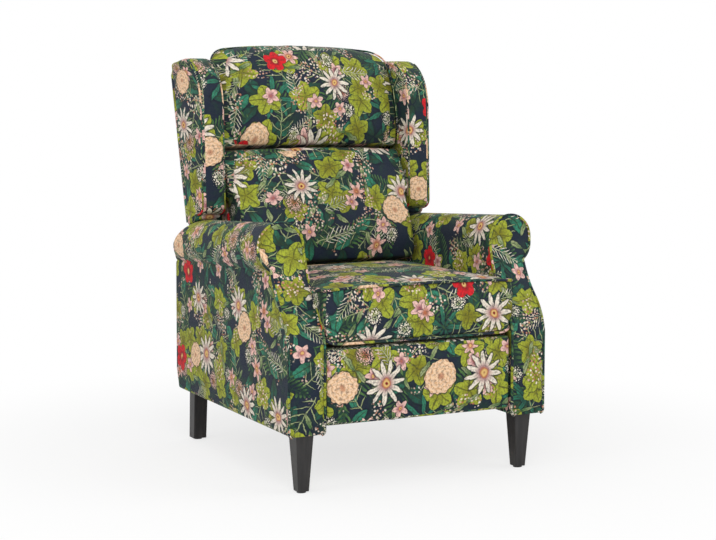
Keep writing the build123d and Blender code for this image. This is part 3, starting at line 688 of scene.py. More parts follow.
# Motif layers, from the ground up. Each row: group, its shape values, spacing of the places in
# metres, jitter, size of the motif in metres, share of the places that are filled, shift of the
# places, and the two colours at the heart and at the tip.
LEAF_LAYERS = (
    ("Rays", {"Count": 3.0, "Width": 0.20, "Blunt": 0.9}, 0.105, 0.6, 0.062, 1.00, 1.7, "pine", "teal"),
    ("Sprig", {"Shoots": 6.0, "Width": 0.42, "Thick": 0.62}, 0.100, 0.6, 0.058, 0.90, 5.3, "pine", "fern"),
    ("Rays", {"Count": 2.0, "Width": 0.22, "Blunt": 0.8}, 0.085, 0.6, 0.048, 0.90, 9.1, "pine", "jade"),
    ("Rays", {"Count": 7.0, "Width": 0.10, "Blunt": 0.9}, 0.120, 0.6, 0.050, 0.60, 51.9, "teal", "jade"),
    (
        "Sprig", {"Shoots": 3.0, "Width": 0.6, "Thick": 0.2, "Slant": 0.7},
        0.085, 0.6, 0.046, 0.90, 21.1, "stem", "stem",
    ),
    ("Rays", {"Count": 5.0, "Width": 0.40, "Blunt": 0.55}, 0.078, 0.6, 0.030, 0.66, 13.9, "olive", "lime"),
    ("Rays", {"Count": 4.0, "Width": 0.42, "Blunt": 0.6}, 0.082, 0.6, 0.029, 0.50, 17.3, "olive", "lime"),
    ("Rays", {"Count": 2.0, "Width": 0.16, "Blunt": 0.8}, 0.070, 0.7, 0.030, 0.55, 63.7, "fern", "stem"),
    (
        "Sprig", {"Shoots": 4.0, "Width": 0.5, "Thick": 0.3, "Slant": 1.0},
        0.095, 0.7, 0.030, 0.70, 71.3, "stem", "cream",
    ),
)
FLOWER_LAYERS = (
    ("Lace", {"Dots": 5.0}, 0.110, 0.6, 0.017, 0.50, 41.7, "stem", "cream"),
    ("Lace", {"Dots": 7.0}, 0.125, 0.6, 0.021, 0.45, 47.1, "rust", "blush"),
    ("Rays", {"Count": 5.0, "Width": 0.32, "Blunt": 0.5}, 0.078, 0.6, 0.0165, 0.55, 23.7, "rose", "blush"),
    ("Rays", {"Count": 6.0, "Width": 0.22, "Blunt": 0.6}, 0.130, 0.6, 0.019, 0.60, 57.7, "rust", "blush"),
    ("Rays", {"Count": 11.0, "Width": 0.125, "Blunt": 0.45}, 0.185, 0.5, 0.039, 0.85, 29.3, "rose", "cream"),
    ("Ruffle", {}, 0.240, 0.5, 0.030, 0.75, 31.1, "apricot", "peach"),
    ("Rays", {"Count": 5.0, "Width": 0.42, "Blunt": 0.38}, 0.250, 0.5, 0.026, 0.75, 37.9, "wine", "poppy"),
)
PRINT_COLOURS = {
    "ground": ("Ground", (0.008, 0.015, 0.031)),
    "pine": ("Dark leaves", (0.010, 0.036, 0.022)),
    "teal": ("Teal leaves", (0.014, 0.090, 0.062)),
    "fern": ("Fern sprigs", (0.075, 0.170, 0.050)),
    "jade": ("Jade leaves", (0.030, 0.215, 0.130)),
    "olive": ("Leaf hearts", (0.200, 0.190, 0.012)),
    "lime": ("Leaf edges", (0.360, 0.410, 0.035)),
    "stem": ("Pale stems", (0.340, 0.390, 0.190)),
    "cream": ("Cream petals", (0.830, 0.760, 0.640)),
    "blush": ("Blush petals", (0.820, 0.520, 0.460)),
    "rose": ("Petal hearts", (0.340, 0.110, 0.130)),
    "rust": ("Rust hearts", (0.420, 0.130, 0.060)),
    "apricot": ("Blossom folds", (0.600, 0.300, 0.130)),
    "peach": ("Full blossoms", (0.860, 0.600, 0.400)),
    "wine": ("Red hearts", (0.200, 0.004, 0.010)),
    "poppy": ("Red blossoms", (0.640, 0.010, 0.018)),
}
SPECKS = 150.0                   # tiny seed heads to the metre
BRUSH_DARK = (0.012, 0.022, 0.020)
BRUSH_PALE = (0.620, 0.640, 0.420)
VEIN_DARK = (0.030, 0.030, 0.010)
LEAF_HALO = (0.003, 0.006, 0.014)
FLOWER_HALO = (0.004, 0.007, 0.014)
GOLD = (0.720, 0.480, 0.170)


def scattered(wires, cloth, row):
    """One motif layer's mask and halo, which of its places are filled, the motif's own outputs,
    and those of its places."""
    kind, shape, spacing, jitter, size, share, shift = row[:7]
    values = {
        "Vector": cloth, "Shift": (shift, shift * 0.7, 0.0), "Spacing": spacing,
        "Jitter": jitter, "Size": size,
    }
    places = wires.group("Scatter", values)
    motif = wires.group(kind, {"Local": places["Local"], **shape})
    kept = places["Tone"] < share
    return motif["Mask"] * kept, motif["Halo"] * kept, kept, motif, places


def painted(wires, base, paint):
    """A colour with brush marks: darker where the paint noise is low, paler where it is high."""
    darker = wires.mix(wires.between(paint, 0.30, 0.55, 0.55, 0.0), base, BRUSH_DARK)
    high = wires.between(paint, 0.50, 0.72, 0.0, 0.40)
    return wires.mix(high, darker, BRUSH_PALE, "SOFT_LIGHT")


def leaf_colour(wires, row, motif, places, tint):
    """A leaf's colour from heart to tip, set off by its place, with a midrib and slanting veins
    on a ray."""
    across = abs(motif["Across"])
    set_off = wires.between(places["Pick"], 0.0, 1.0, -0.25, 0.35, smooth=False)
    spread = wires.math("ADD", wires.between(motif["Along"], 0.0, 0.9), set_off, clamp=True)
    shaded = wires.mix(spread, tint[row[7]], tint[row[8]])
    if row[0] == "Rays":
        ribs = wires.math("FRACT", motif["Along"] * 5.0 - across)
        rib = wires.between(ribs, 0.0, 0.25, 0.55, 0.0)
        vein = wires.math("MAXIMUM", rib, wires.between(across, 0.05, 0.16, 0.85, 0.0))
        shaded = wires.mix(vein, shaded, wires.mix(0.6, tint[row[7]], VEIN_DARK))
    return shaded


def flower_colour(wires, row, motif, tint):
    """A blossom's colour from heart to tip, with folded petals or nested rings."""
    across = abs(motif["Across"])
    shaded = wires.mix(wires.between(motif["Along"], 0.10, 0.60), tint[row[7]], tint[row[8]])
    if row[0] == "Rays":
        fold = wires.between(across, 0.0, 0.22, 0.30, 0.0)
        rim = wires.between(across, 0.82, 1.0, 0.0, 0.45)
        shaded = wires.mix(wires.math("MAXIMUM", fold, rim), shaded, tint[row[7]])
    if row[0] == "Ruffle":
        folds = wires.between(across, 0.0, 0.5, 0.75, 0.0)
        shaded = wires.mix(folds, tint["peach"], tint["apricot"])
        heart = wires.between(motif["Along"], 0.0, 0.3, 0.8, 0.0)
        shaded = wires.mix(heart, shaded, tint["rust"])
    return shaded


def build_floral():
    """The printed flowers and leaves, laid over a dark ground from the furthest layer to the
    nearest. Every motif is a plain leaf, sprig or blossom with a dark halo under it."""
    inputs = [("Vector", "v", None)]
    inputs += [(label, "c", colour) for label, colour in PRINT_COLOURS.values()]
    wires, entry, leave = new_group("Floral_print", inputs, [("Color", "c")])
    tint = {key: entry[label] for key, (label, _) in PRINT_COLOURS.items()}
    cloth = entry["Vector"]
    bent = cloth
    for scale, detail, reach in ((9.0, 2.0, 0.02), (75.0, 3.0, 0.006)):
        sway = wires.noise(cloth, scale, detail, dimensions="2D")[1]
        sway = wires.vector("SUBTRACT", sway, (0.5, 0.5, 0.5))
        bent = wires.vector("ADD", bent, wires.vector("SCALE", sway, reach))
    paint = wires.noise(cloth, 170.0, 4.0, 0.65, "2D")[0]
    cloud = wires.noise(cloth, 22.0, 4.0, 0.6, "2D")[0]
    colour = wires.mix(wires.between(cloud, 0.45, 0.72, 0.0, 0.8), tint["ground"], tint["pine"])
    for row in LEAF_LAYERS:
        mask, halo, _, motif, places = scattered(wires, bent, row)
        shaded = painted(wires, leaf_colour(wires, row, motif, places, tint), paint)
        colour = wires.mix(halo * 0.6, colour, LEAF_HALO)
        colour = wires.mix(mask, colour, shaded)
    seeds = wires.cells(bent, SPECKS, 0.9)
    seed_tone = wires.node("ShaderNodeSeparateColor", (seeds["Color"],))[0]
    patches = wires.vector("ADD", cloth, (7.3, 2.1, 0.0))
    patches = wires.between(wires.noise(patches, 17.0, 2.0, dimensions="2D")[0], 0.56, 0.62)
    seed = wires.between(seeds["Distance"], 0.20, 0.34, 1.0, 0.0) * patches
    colour = wires.mix(seed, colour, wires.mix(seed_tone, tint["rust"], tint["cream"]))
    for row in FLOWER_LAYERS:
        mask, halo, kept, motif, places = scattered(wires, bent, row)
        shaded = painted(wires, flower_colour(wires, row, motif, tint), paint)
        colour = wires.mix(halo * 0.75, colour, FLOWER_HALO)
        colour = wires.mix(mask, colour, shaded)
        if row[0] == "Rays":
            local = wires.vector("LENGTH", places["Local"])
            heart = wires.between(local, 0.20, 0.27, 1.0, 0.0) * kept
            gold = wires.mix(wires.between(local, 0.05, 0.12), tint["wine"], GOLD)
            gold = wires.mix(wires.between(local, 0.13, 0.22), gold, tint["rust"])
            colour = wires.mix(heart, colour, gold)
    wires.feed(leave, {"Color": colour})


def build_weave():
    """Height of a plain weave: threads at right angles, each a row of half-sine arches that
    takes turns with its neighbours to lie on top."""
    inputs = [("Vector", "v", None), ("Threads", "f", 1400.0)]
    wires, entry, leave = new_group("Plain_weave", inputs, [("Height", "f")])
    x, y, _ = wires.split(wires.vector("SCALE", entry["Vector"], entry["Threads"]))
    warp = abs(wires.math("SINE", x * pi))
    weft = abs(wires.math("SINE", y * pi))
    row = {"Vector": entry["Vector"], "Scale": entry["Threads"]}
    checks = wires.node("ShaderNodeTexChecker", row)[1]
    height = wires.node("ShaderNodeMix", {0: checks, 2: warp, 3: weft}, data_type="FLOAT")[0]
    wires.feed(leave, {"Height": height})


def build_grain():
    """Wood grain along one axis: noise drawn out along the piece, with finer pores over it."""
    inputs = [("Vector", "v", None), ("Stretch", "v", (60.0, 60.0, 4.0))]
    wires, entry, leave = new_group("Grain", inputs, [("Grain", "f"), ("Pores", "f")])
    drawn = wires.vector("MULTIPLY", entry["Vector"], entry["Stretch"])
    grain = wires.noise(drawn, 1.0, 4.0, 0.6)[0]
    pores = wires.noise(wires.vector("SCALE", drawn, 6.0), 1.0, 2.0, 0.7)[0]
    wires.feed(leave, {"Grain": grain, "Pores": pores})


GROUP_BUILDERS = (
    build_scatter, build_rays, build_sprig, build_ruffle, build_lace, build_floral, build_weave,
    build_grain,
)

# ---- finishes --------------------------------------------------------------------------


def new_material(name):
    """A material with one Principled shader, on the frame's own material of that name if it has
    one. Returns the material, its wires and the shader."""
    material = bpy.data.materials.get(name) or bpy.data.materials.new(name)
    material.use_nodes = True
    tree = material.node_tree
    tree.nodes.clear()
    shader = tree.nodes.new("ShaderNodeBsdfPrincipled")
    output = tree.nodes.new("ShaderNodeOutputMaterial")
    tree.links.new(shader.outputs[0], output.inputs["Surface"])
    return material, Wires(tree), shader


def make_cloth(settings):
    """Smooth printed cloth: floral print, plain weave, slight creases and a soft nap."""
    _, wires, shader = new_material("printed_cloth")
    cloth = wires.node("ShaderNodeUVMap", uv_map="cloth")[0]
    row = {"Vector": wires.vector("SCALE", cloth, 1.0 / settings.print_scale)}
    for key, (label, _) in PRINT_COLOURS.items():
        row[label] = tuple(getattr(settings, key))
    colour = wires.group("Floral_print", row)[0]
    dust = wires.noise(wires.here(), 260.0, 2.0)[0]
    weave = wires.group("Plain_weave", {"Vector": cloth, "Threads": 1300.0})[0]
    creases = wires.noise(wires.here(), 11.0, 3.0, 0.55)[0]
    woven = wires.bump(weave, 0.25, 0.0004)
    row = {
        "Base Color": wires.mix(wires.between(dust, 0.2, 0.8, 0.10, 0.0), colour, (0.05, 0.05, 0.05)),
        "Roughness": wires.between(dust, 0.0, 1.0, 0.55, 0.75),
        "Normal": wires.bump(creases, 0.35, 0.006, Normal=woven),
        "Sheen Weight": 0.04,
        "Sheen Roughness": 0.4,
        "Specular IOR Level": 0.18,
    }
    wires.feed(shader, row)


def make_leg_wood(settings):
    """Wood stained near black under a satin lacquer, with the grain just showing."""
    _, wires, shader = new_material("leg_wood")
    grain, pores = wires.group("Grain", {"Vector": wires.here(), "Stretch": (90.0, 90.0, 7.0)})
    stain = tuple(settings.leg_colour)
    lighter = tuple(1.9 * channel + 0.004 for channel in stain)
    row = {
        "Base Color": wires.mix(wires.between(grain, 0.35, 0.7), stain, lighter),
        "Roughness": wires.between(pores, 0.2, 0.8, 0.28, 0.42),
        "Normal": wires.bump(pores, 0.12, 0.0004),
    }
    wires.feed(shader, row)


def make_timber(_):
    """Raw sawn timber: pale bands of grain and open pores."""
    _, wires, shader = new_material("timber")
    grain, pores = wires.group("Grain", {"Vector": wires.here(), "Stretch": (30.0, 8.0, 30.0)})
    band = wires.between(grain, 0.3, 0.7)
    row = {
        "Base Color": wires.mix(band, (0.58, 0.42, 0.25), (0.42, 0.27, 0.14)),
        "Roughness": wires.between(pores, 0.2, 0.8, 0.6, 0.85),
        "Normal": wires.bump(pores, 0.3, 0.0006),
    }
    wires.feed(shader, row)


def make_black_steel(_):
    """Black powder coat: fine orange peel and slight changes of gloss."""
    _, wires, shader = new_material("black_steel")
    peel = wires.noise(wires.here(), 900.0, 2.0)[0]
    patch = wires.noise(wires.here(), 25.0, 3.0)[0]
    row = {
        "Base Color": wires.mix(patch, (0.018, 0.018, 0.019), (0.030, 0.030, 0.032)),
        "Roughness": wires.between(patch, 0.3, 0.7, 0.38, 0.52),
        "Normal": wires.bump(peel, 0.25, 0.0003),
    }
    wires.feed(shader, row)


def make_bright_steel(name, colour, low, high):
    """Bright metal with fine drawn lines and dull patches."""
    _, wires, shader = new_material(name)
    drawn = wires.vector("MULTIPLY", wires.here(), (900.0, 40.0, 900.0))
    lines = wires.noise(drawn, 1.0)[0]
    patch = wires.noise(wires.here(), 60.0, 3.0)[0]
    darker = tuple(0.7 * channel for channel in colour)
    row = {
        "Base Color": wires.mix(wires.between(patch, 0.3, 0.7), colour, darker),
        "Roughness": wires.between(lines, 0.3, 0.7, low, high),
        "Metallic": 1.0,
    }
    wires.feed(shader, row)


def make_webbing(_):
    """Elastic webbing: coarse weave with a darker stripe of rubber between the threads."""
    _, wires, shader = new_material("webbing")
    row = {"Vector": wires.here(), "Angle": pi / 2}
    turned = wires.node("ShaderNodeVectorRotate", row, rotation_type="X_AXIS")[0]
    weave = wires.group("Plain_weave", {"Vector": turned, "Threads": 420.0})[0]
    row = {
        "Base Color": wires.mix(weave, (0.18, 0.15, 0.11), (0.52, 0.46, 0.36)),
        "Normal": wires.bump(weave, 0.6, 0.0010),
        "Roughness": 0.85,
    }
    wires.feed(shader, row)


def make_glide(_):
    """Moulded black plastic with a fine matt texture."""
    _, wires, shader = new_material("glide")
    texture = wires.noise(wires.here(), 1200.0, 2.0)[0]
    row = {
        "Base Color": wires.mix(texture, (0.020, 0.020, 0.021), (0.035, 0.035, 0.036)),
        "Roughness": wires.between(texture, 0.2, 0.8, 0.5, 0.7),
        "Normal": wires.bump(texture, 0.2, 0.0002),
    }
    wires.feed(shader, row)


MAKERS = (
    make_cloth, make_leg_wood, make_timber, make_black_steel,
    lambda _: make_bright_steel("zinc_steel", (0.62, 0.62, 0.60), 0.26, 0.42),
    lambda _: make_bright_steel("spring_wire", (0.30, 0.30, 0.31), 0.35, 0.5),
    make_webbing, make_glide,
)


def dressed(piece, body, *nodes, fill=None):
    """Give a cover its cloth and its body, and hide the frame nodes that it stands for.
    fill, how full a pad is, is not used."""
    piece.data.materials.clear()
    piece.data.materials.append(bpy.data.materials["printed_cloth"])
    if nodes:
        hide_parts(*nodes)
    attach(piece, body)


# ---- arms ------------------------------------------------------------------------------

FRONT_CURVE = chain(
    line((0, 100), (0, 345)),
    arc((0, 345), (14, 388), (46, 432)),
    arc((46, 432), (78, 473), (108, 545)),
    line((108, 545), (112, 560)),
    line((112, 560), (112, 700)),
)
REAR_CURVE = chain(
    line((735, 100), (729, 484)),
    line((729, 484), (705, 498)),
    line((705, 498), (694, 508)),
    line((694, 508), (692, 536)),
    arc((692, 536), (648, 583), (590, 603.5)),
    line((590, 603.5), (589, 700)),
)
CORNER = 8.0
ARM_BELLY = 6.0              # how far the outer side swells toward the rear
CREASE_DRAW = 1.0
ROLL_OUT = ROLL_OUTER - ROLL_CENTRE
ROLL_IN = ROLL_CENTRE - ROLL_INNER


def arm_levels(count=120):
    """Heights of the arm's section in the front plane with its outer and inner edge at each:
    straight sides with round lower corners, a drawn-in seam, then the arcs of the roll."""

    def corner(edge, inward):
        near = QUARTER * CORNER
        return arc(
            (edge + inward * CORNER, BASE_BOTTOM),
            (edge + inward * near, BASE_BOTTOM + near),
            (edge, BASE_BOTTOM + CORNER),
            8,
        )

    def crown(edge, reach):
        middle = (ROLL_CENTRE + 0.72 * reach, ROLL_MIDDLE + 0.7 * ROLL_RISE)
        return arc((edge, ROLL_MIDDLE), middle, (ROLL_CENTRE, ARM_TOP))

    flat = line((ARM_OUTER, BASE_BOTTOM + CORNER), (ARM_OUTER, CREASE - 8), 60)
    crease = (ARM_OUTER - CREASE_DRAW, CREASE)
    belly = arc(
        crease, (ROLL_OUTER - 4, ROLL_MIDDLE - 0.50 * ROLL_RISE), (ROLL_OUTER, ROLL_MIDDLE)
    )
    side = chain(corner(ARM_OUTER, -1), flat, line(flat[-1], crease, 5))
    outer = even(chain(side, belly, crown(ROLL_OUTER, ROLL_OUT)), count)
    inner_route = chain(
        corner(ARM_INNER, 1),
        line((ARM_INNER, BASE_BOTTOM + CORNER), (ARM_INNER, CREASE)),
        line((ARM_INNER, CREASE), (ROLL_INNER, ROLL_MIDDLE)),
        crown(ROLL_INNER, -ROLL_IN),
    )
    heights = outer[:, 1]
    inner = np.interp(heights, inner_route[:, 1], inner_route[:, 0])
    return heights, outer[:, 0], inner


def arm_height(base, y):
    """Height at depth y of a line that starts at a base height in the front plane."""
    return base + np.interp(base, *ARM_SLOPES) * y


def arm_depth(curve, base):
    """Depth where each line of the arm meets a side curve, found by three rounds of correction."""
    order = np.argsort(curve[:, 1], kind="stable")
    y = np.interp(base, curve[order, 1], curve[order, 0])
    for _ in range(3):
        y = np.interp(arm_height(base, y), curve[order, 1], curve[order, 0])
    return y


def arm_shell(side, rows=70, columns=10):
    """The arm's cover: the section runs from the front curve to the rear curve, draws in round
    a bevel at the rear, wider on the roll, and a panel closes it there from side to side."""
    heights, outer, inner = arm_levels()
    base = np.concatenate([heights, heights[::-1]])
    x = np.concatenate([outer, inner[::-1]])
    start = arm_depth(FRONT_CURVE, base) + FACING_BACK - 3
    stop = arm_depth(REAR_CURVE, base)
    shares = np.concatenate([np.linspace(0, 1, rows), np.ones(8)])[:, None]
    turn = np.concatenate([np.zeros(rows), np.linspace(0, pi / 2, 9)[1:]])[:, None]
    on_roll = smooth_step(ROLL_MIDDLE - 0.3 * ROLL_RISE, ROLL_MIDDLE + 0.8 * ROLL_RISE, base)
    bevel = 8.0 + 18.0 * on_roll
    y = start + (stop - bevel - start) * shares + bevel * np.sin(turn)
    middle_x = np.interp(base, heights, (outer + inner) / 2)
    half = np.maximum(np.abs(x - middle_x), 1e-6)
    draw = bevel * (1 - np.cos(turn))
    inset_x = middle_x + (x - middle_x) * np.maximum(half - draw, 0) / half
    low_side = smooth_step(BASE_BOTTOM, BASE_BOTTOM + 70, base)
    low_side = low_side * smooth_step(ROLL_MIDDLE, CREASE - 10, base)
    belly = ARM_BELLY * low_side * (x > middle_x) * smooth_step(60, 420, y)
    z = arm_height(base, y)
    z = z - draw * smooth_step(ROLL_MIDDLE, ARM_TOP, base) + draw * (base < BASE_BOTTOM + 1)
    shell = place(side * (inset_x + belly), y, z)
    count = len(heights)
    across = np.linspace(0, 1, columns)[None, :, None]

    def bridged(ring):
        """A panel between the ring's outer and its inner half."""
        return ring[:count][:, None] * (1 - across) + ring[count:][::-1][:, None] * across

    panel, lid = bridged(shell[-1]), bridged(shell[0])
    section = np.stack([x, base], axis=1)
    around = lengths(np.concatenate([section, section[:1]]))
    depth = np.concatenate([y, y[:, :1]], axis=1)
    uvs = [
        plain_uv(depth + 60 * side, around[None, :]),
        plain_uv(panel[..., 0] / MM + 900, panel[..., 2] / MM),
        plain_uv(lid[..., 0] / MM + 1300, lid[..., 2] / MM),
    ]
    return [shell, panel, lid], uvs, [True, False, False]


def facing_shell(side, columns=26, puff=7.0):
    """The panel on the arm's front: it follows the front curve, swells between its edges, and
    is closed behind."""
    heights, outer, inner = arm_levels()
    depth = arm_depth(FRONT_CURVE, heights)[:, None]
    share = np.linspace(-1, 1, columns)[None, :]
    middle = ((outer + inner) / 2)[:, None]
    half = np.maximum((outer - inner) / 2 - 1.0, 0)[:, None]
    x = middle + half * np.sin(share * pi / 2)
    edge = np.minimum(half / 25.0, 1.0) * smooth_step(BASE_BOTTOM - 1, BASE_BOTTOM + 25, heights)[:, None]
    swell = puff * edge * rise_and_fall(np.sin(share * pi / 2), 3.0)
    y_front = depth + 3.5 - swell
    front = place(side * x, y_front, arm_height(heights[:, None], y_front))
    y_back = np.broadcast_to(depth + FACING_BACK, x.shape)
    back = place(side * x, y_back, arm_height(heights[:, None], y_back))[:, ::-1]
    rings = np.concatenate([front, back], axis=1)
    run = lengths(np.stack([depth[:, 0], heights], axis=1))[:, None]
    u = np.concatenate([x, x[:, ::-1], x[:, :1]], axis=1) * side
    return [rings], [plain_uv(u + 37 * side, run)], [True]


def facing_route(side):
    """Middle of the piping round the arm's front panel, from the outer foot over the roll to
    the inner foot."""
    heights, outer, inner = arm_levels(160)
    base = np.concatenate([heights, heights[-2::-1]])
    x = np.concatenate([outer, inner[-2::-1]])
    y = arm_depth(FRONT_CURVE, base) + 3.0
    return even(place(side * x, y, arm_height(base, y)), 260)


SIDES = {"left": 1, "right": -1}


def make_arm(name, side):
    """One arm: cover, front panel and the piping between them."""
    cover = grid_piece(f"{name}_arm_dress", *arm_shell(side))
    dressed(cover, "base", f"{name}_arm_cover", fill=0.9)
    facing = grid_piece(f"{name}_facing_dress", *facing_shell(side), sharp=60.0)
    dressed(facing, "base", f"{name}_arm_facing", fill=0.8)
    piping = tube_piece(f"{name}_facing_piping", facing_route(side), PIPE, shift=(0.3, 0.2))
    dressed(piping, "base")


# ---- seat ------------------------------------------------------------------------------

SEAT_SPREAD = 7.5            # how far the seat's front widens past the arms' inner sides


def seat_front(x):
    """Depth of the seat's front edge: bowed forward in the middle, with round corners."""
    over = np.clip(np.abs(x) - (SEAT_HALF - SEAT_CORNER), 0, SEAT_CORNER)
    corner = SEAT_CORNER - np.sqrt(SEAT_CORNER**2 - over**2)
    return SEAT_FRONT + 1 - 2.0 * rise_and_fall(x / SEAT_HALF) + corner


def seat_seam(x):
    """Height of the top piping: a shallow arch across the seat."""
    return SEAT_SEAM + 6.0 * rise_and_fall(x / SEAT_HALF, 4.0)


def seat_crown(x, y):
    """Height of the seat's top: a low dome that falls off at the front edge, sides and rear."""
    across = rise_and_fall(x / SEAT_HALF, 4.0)
    along = smooth_step(SEAT_FRONT, 100, y) * (1 - 0.85 * smooth_step(400, SEAT_REAR, y))
    return seat_seam(x) + 2 - 8 * smooth_step(430, SEAT_REAR, y) + 13 * across * along


def seat_spread(y, z):
    """How much wider the seat is on each side where it stands in front of the arms' curve."""
    arm = np.interp(z, FRONT_CURVE[:, 1], FRONT_CURVE[:, 0])
    return SEAT_SPREAD * smooth_step(arm - 2, arm - 12, y)


def seat_low(x):
    """Height of the bottom piping: level, and raised at its ends round the border's corners."""
    return BORDER_SEAM + 12.0 * (np.abs(x) / SEAT_HALF) ** 22


def seat_start():
    """The seat before it is filled: at each place across, an outline runs up the front border,
    back over the top, down the rear and forward underneath, and the ends draw in."""
    across = 71
    x = SEAT_HALF * np.sin(np.linspace(-1, 1, across) * pi / 2) * 0.997
    draw = 6.0 * (np.abs(x) / SEAT_HALF) ** 14
    run = [
        line((0, BORDER_SEAM + 2), (0, SEAT_SEAM), 22),
        line((0, SEAT_SEAM), (SEAT_REAR, SEAT_SEAM), 90)[1:],
        line((SEAT_REAR, SEAT_SEAM), (SEAT_REAR, CUSHION_BOTTOM + 3), 12)[1:],
        line((SEAT_REAR, CUSHION_BOTTOM + 3), (BORDER_REAR, CUSHION_BOTTOM + 3), 60)[1:],
        line((BORDER_REAR, CUSHION_BOTTOM + 3), (BORDER_REAR, BORDER_SEAM + 2), 8)[1:],
        line((BORDER_REAR, BORDER_SEAM + 2), (0, BORDER_SEAM + 2), 8)[1:-1],
    ]
    outline = np.concatenate(run)
    y0, z0 = outline[:, 0][None, :], outline[:, 1][None, :]
    is_top = np.abs(z0 - SEAT_SEAM) < 0.1
    on_front = y0 < 0.1
    front = seat_front(x)[:, None]
    y = np.where(y0 < BORDER_REAR, front + y0 * (BORDER_REAR - front) / BORDER_REAR, y0)
    rise = (z0 - BORDER_SEAM) / (SEAT_SEAM - BORDER_SEAM)
    belly = 7.0 * np.maximum(rise_and_fall(2 * rise - 1), 0)
    y = y - on_front * belly
    corner = (seat_low(x) - BORDER_SEAM)[:, None]
    lifted = z0 + rise * (seat_seam(x) - SEAT_SEAM)[:, None] + np.maximum(1 - 4 * rise, 0) * corner
    z = np.where(is_top, seat_crown(x[:, None], y) - 3, np.where(on_front, lifted, z0))
    drawn = draw[:, None]
    y = y - drawn * smooth_step(480, SEAT_REAR, y)
    z = z - drawn * is_top * smooth_step(70, 110, y)
    wide = x[:, None] * (1 + seat_spread(y, z) / SEAT_HALF)
    return place(wide, y, z)


def seat_held(x, y, z):
    """The seat's seams, rear, underside and ends stay where they are while it is filled."""
    on_front = y < seat_front(np.clip(x, -SEAT_HALF, SEAT_HALF)) + 9
    seams = on_front & ((np.abs(z - seat_seam(x)) < 5) | (z < seat_low(x) + 9))
    behind_border = (z < CUSHION_BOTTOM + 8) & (y > 40)
    return seams | behind_border | (y > SEAT_REAR - 10) | (np.abs(x) > SEAT_HALF - 9)


def seat_seam_distance(x, y, z):
    """Distance from the seat's seams and sides, and the run along them."""
    on_front = y < SEAT_FRONT + 25
    front = np.minimum(np.abs(seat_seam(x) - z), z - BORDER_SEAM)
    top = np.minimum(y - SEAT_FRONT, SEAT_REAR - y)
    away = np.minimum(np.where(on_front, front, top), SEAT_HALF + 4 - np.abs(x))
    lies_up = z > CUSHION_BOTTOM + 12
    return np.where(lies_up | on_front, away, 0.0), x + 0.7 * y


def seat_panels(x, y, z):
    """The seat's front, top, sides, rear, underside and the two low faces of its border."""
    return [
        (y - SEAT_FRONT, x + 40, z + 200),
        (SEAT_SEAM + 9 - z, x, y),
        (SEAT_HALF - np.abs(x), y + 700, z),
        (SEAT_REAR - y, x + 500, z - 300),
        (np.abs(z - CUSHION_BOTTOM) + 1000 * (y < BORDER_REAR - 8), x - 700, y),
        (np.abs(y - BORDER_REAR) + 1000 * (z > CUSHION_BOTTOM), x + 40, z + 200),
        (np.abs(z - BORDER_SEAM - 2), x, y),
    ]


def seat_route(half, inward, height, back_to):
    """The route of a piping round the seat's front: forward along one side, round the corner,
    across, and back along the other side."""
    front = SEAT_FRONT + inward
    turn = QUARTER * SEAT_CORNER
    corner = arc(
        (half, front + SEAT_CORNER), (half - turn, front + turn), (half - SEAT_CORNER, front), 12
    )
    side = line((half, back_to), corner[0], 14)
    across = line(corner[-1], corner[-1] * (-1, 1), 90)
    across[:, 1] -= 2.0 * rise_and_fall(across[:, 0] / corner[-1, 0])
    right = chain(side, corner)
    plan = chain(right, across, right[::-1] * (-1, 1))
    return place(plan[:, 0], plan[:, 1], height(plan[:, 0], plan[:, 1]))


def make_seat():
    """The seat cushion with its front border, and the two pipings round its front."""
    seat = filled_piece(
        "seat_dress", seat_start(), unplace, seat_held, seat_seam_distance, seat_panels,
        creases=1.3, cap=10.0, voxel=5.8,
    )
    dressed(seat, "carriage", "seat_cushion", fill=0.85)

    def top_height(x, y):
        return seat_seam(np.clip(x, -SEAT_HALF, SEAT_HALF)) - 8 * smooth_step(20, 70, y)

    def low_height(x, y):
        return seat_low(np.clip(x, -SEAT_HALF, SEAT_HALF)) + 8 * smooth_step(8, 30, y)

    routes = {
        "top": seat_route(SEAT_HALF + SEAT_SPREAD - 1, 0.0, top_height, 66),
        "bottom": seat_route(SEAT_HALF - 1, 0.5, low_height, 34),
    }
    for name, route in routes.items():
        path = even(route, 220)
        piping = tube_piece(f"seat_{name}_piping", path, PIPE, up=(0, 0, 1), shift=(0.1, 0.4))
        dressed(piping, "carriage")


# ---- back ------------------------------------------------------------------------------

LUMBAR_ROWS = np.array(
    [
        (104, -150, -156), (140, -168, -176), (215, -164, -180), (330, -134, -173),
        (400, -112, -150), (CREASE_UP - 3, -94, -118),
    ]
)
HEAD_ROWS = np.array(
    [
        (CREASE_UP, -94, -118), (450, -110, -152), (530, -118, -170), (610, -112, -165),
        (680, -94, -137), (BACK_TOP + 6, -68, -88),
    ]
)


def smooth_rows(rows, up):
    """Edge and crown depths at heights between the given rows, eased by a running mean."""
    fine = np.linspace(rows[0, 0], rows[-1, 0], 200)
    kernel = np.ones(25) / 25
    columns = []
    for index in (1, 2):
        values = np.interp(fine, rows[:, 0], rows[:, index])
        padded = np.pad(values, 12, mode="reflect", reflect_type="odd")
        columns.append(np.interp(up, fine, np.convolve(padded, kernel, mode="valid")))
    return columns


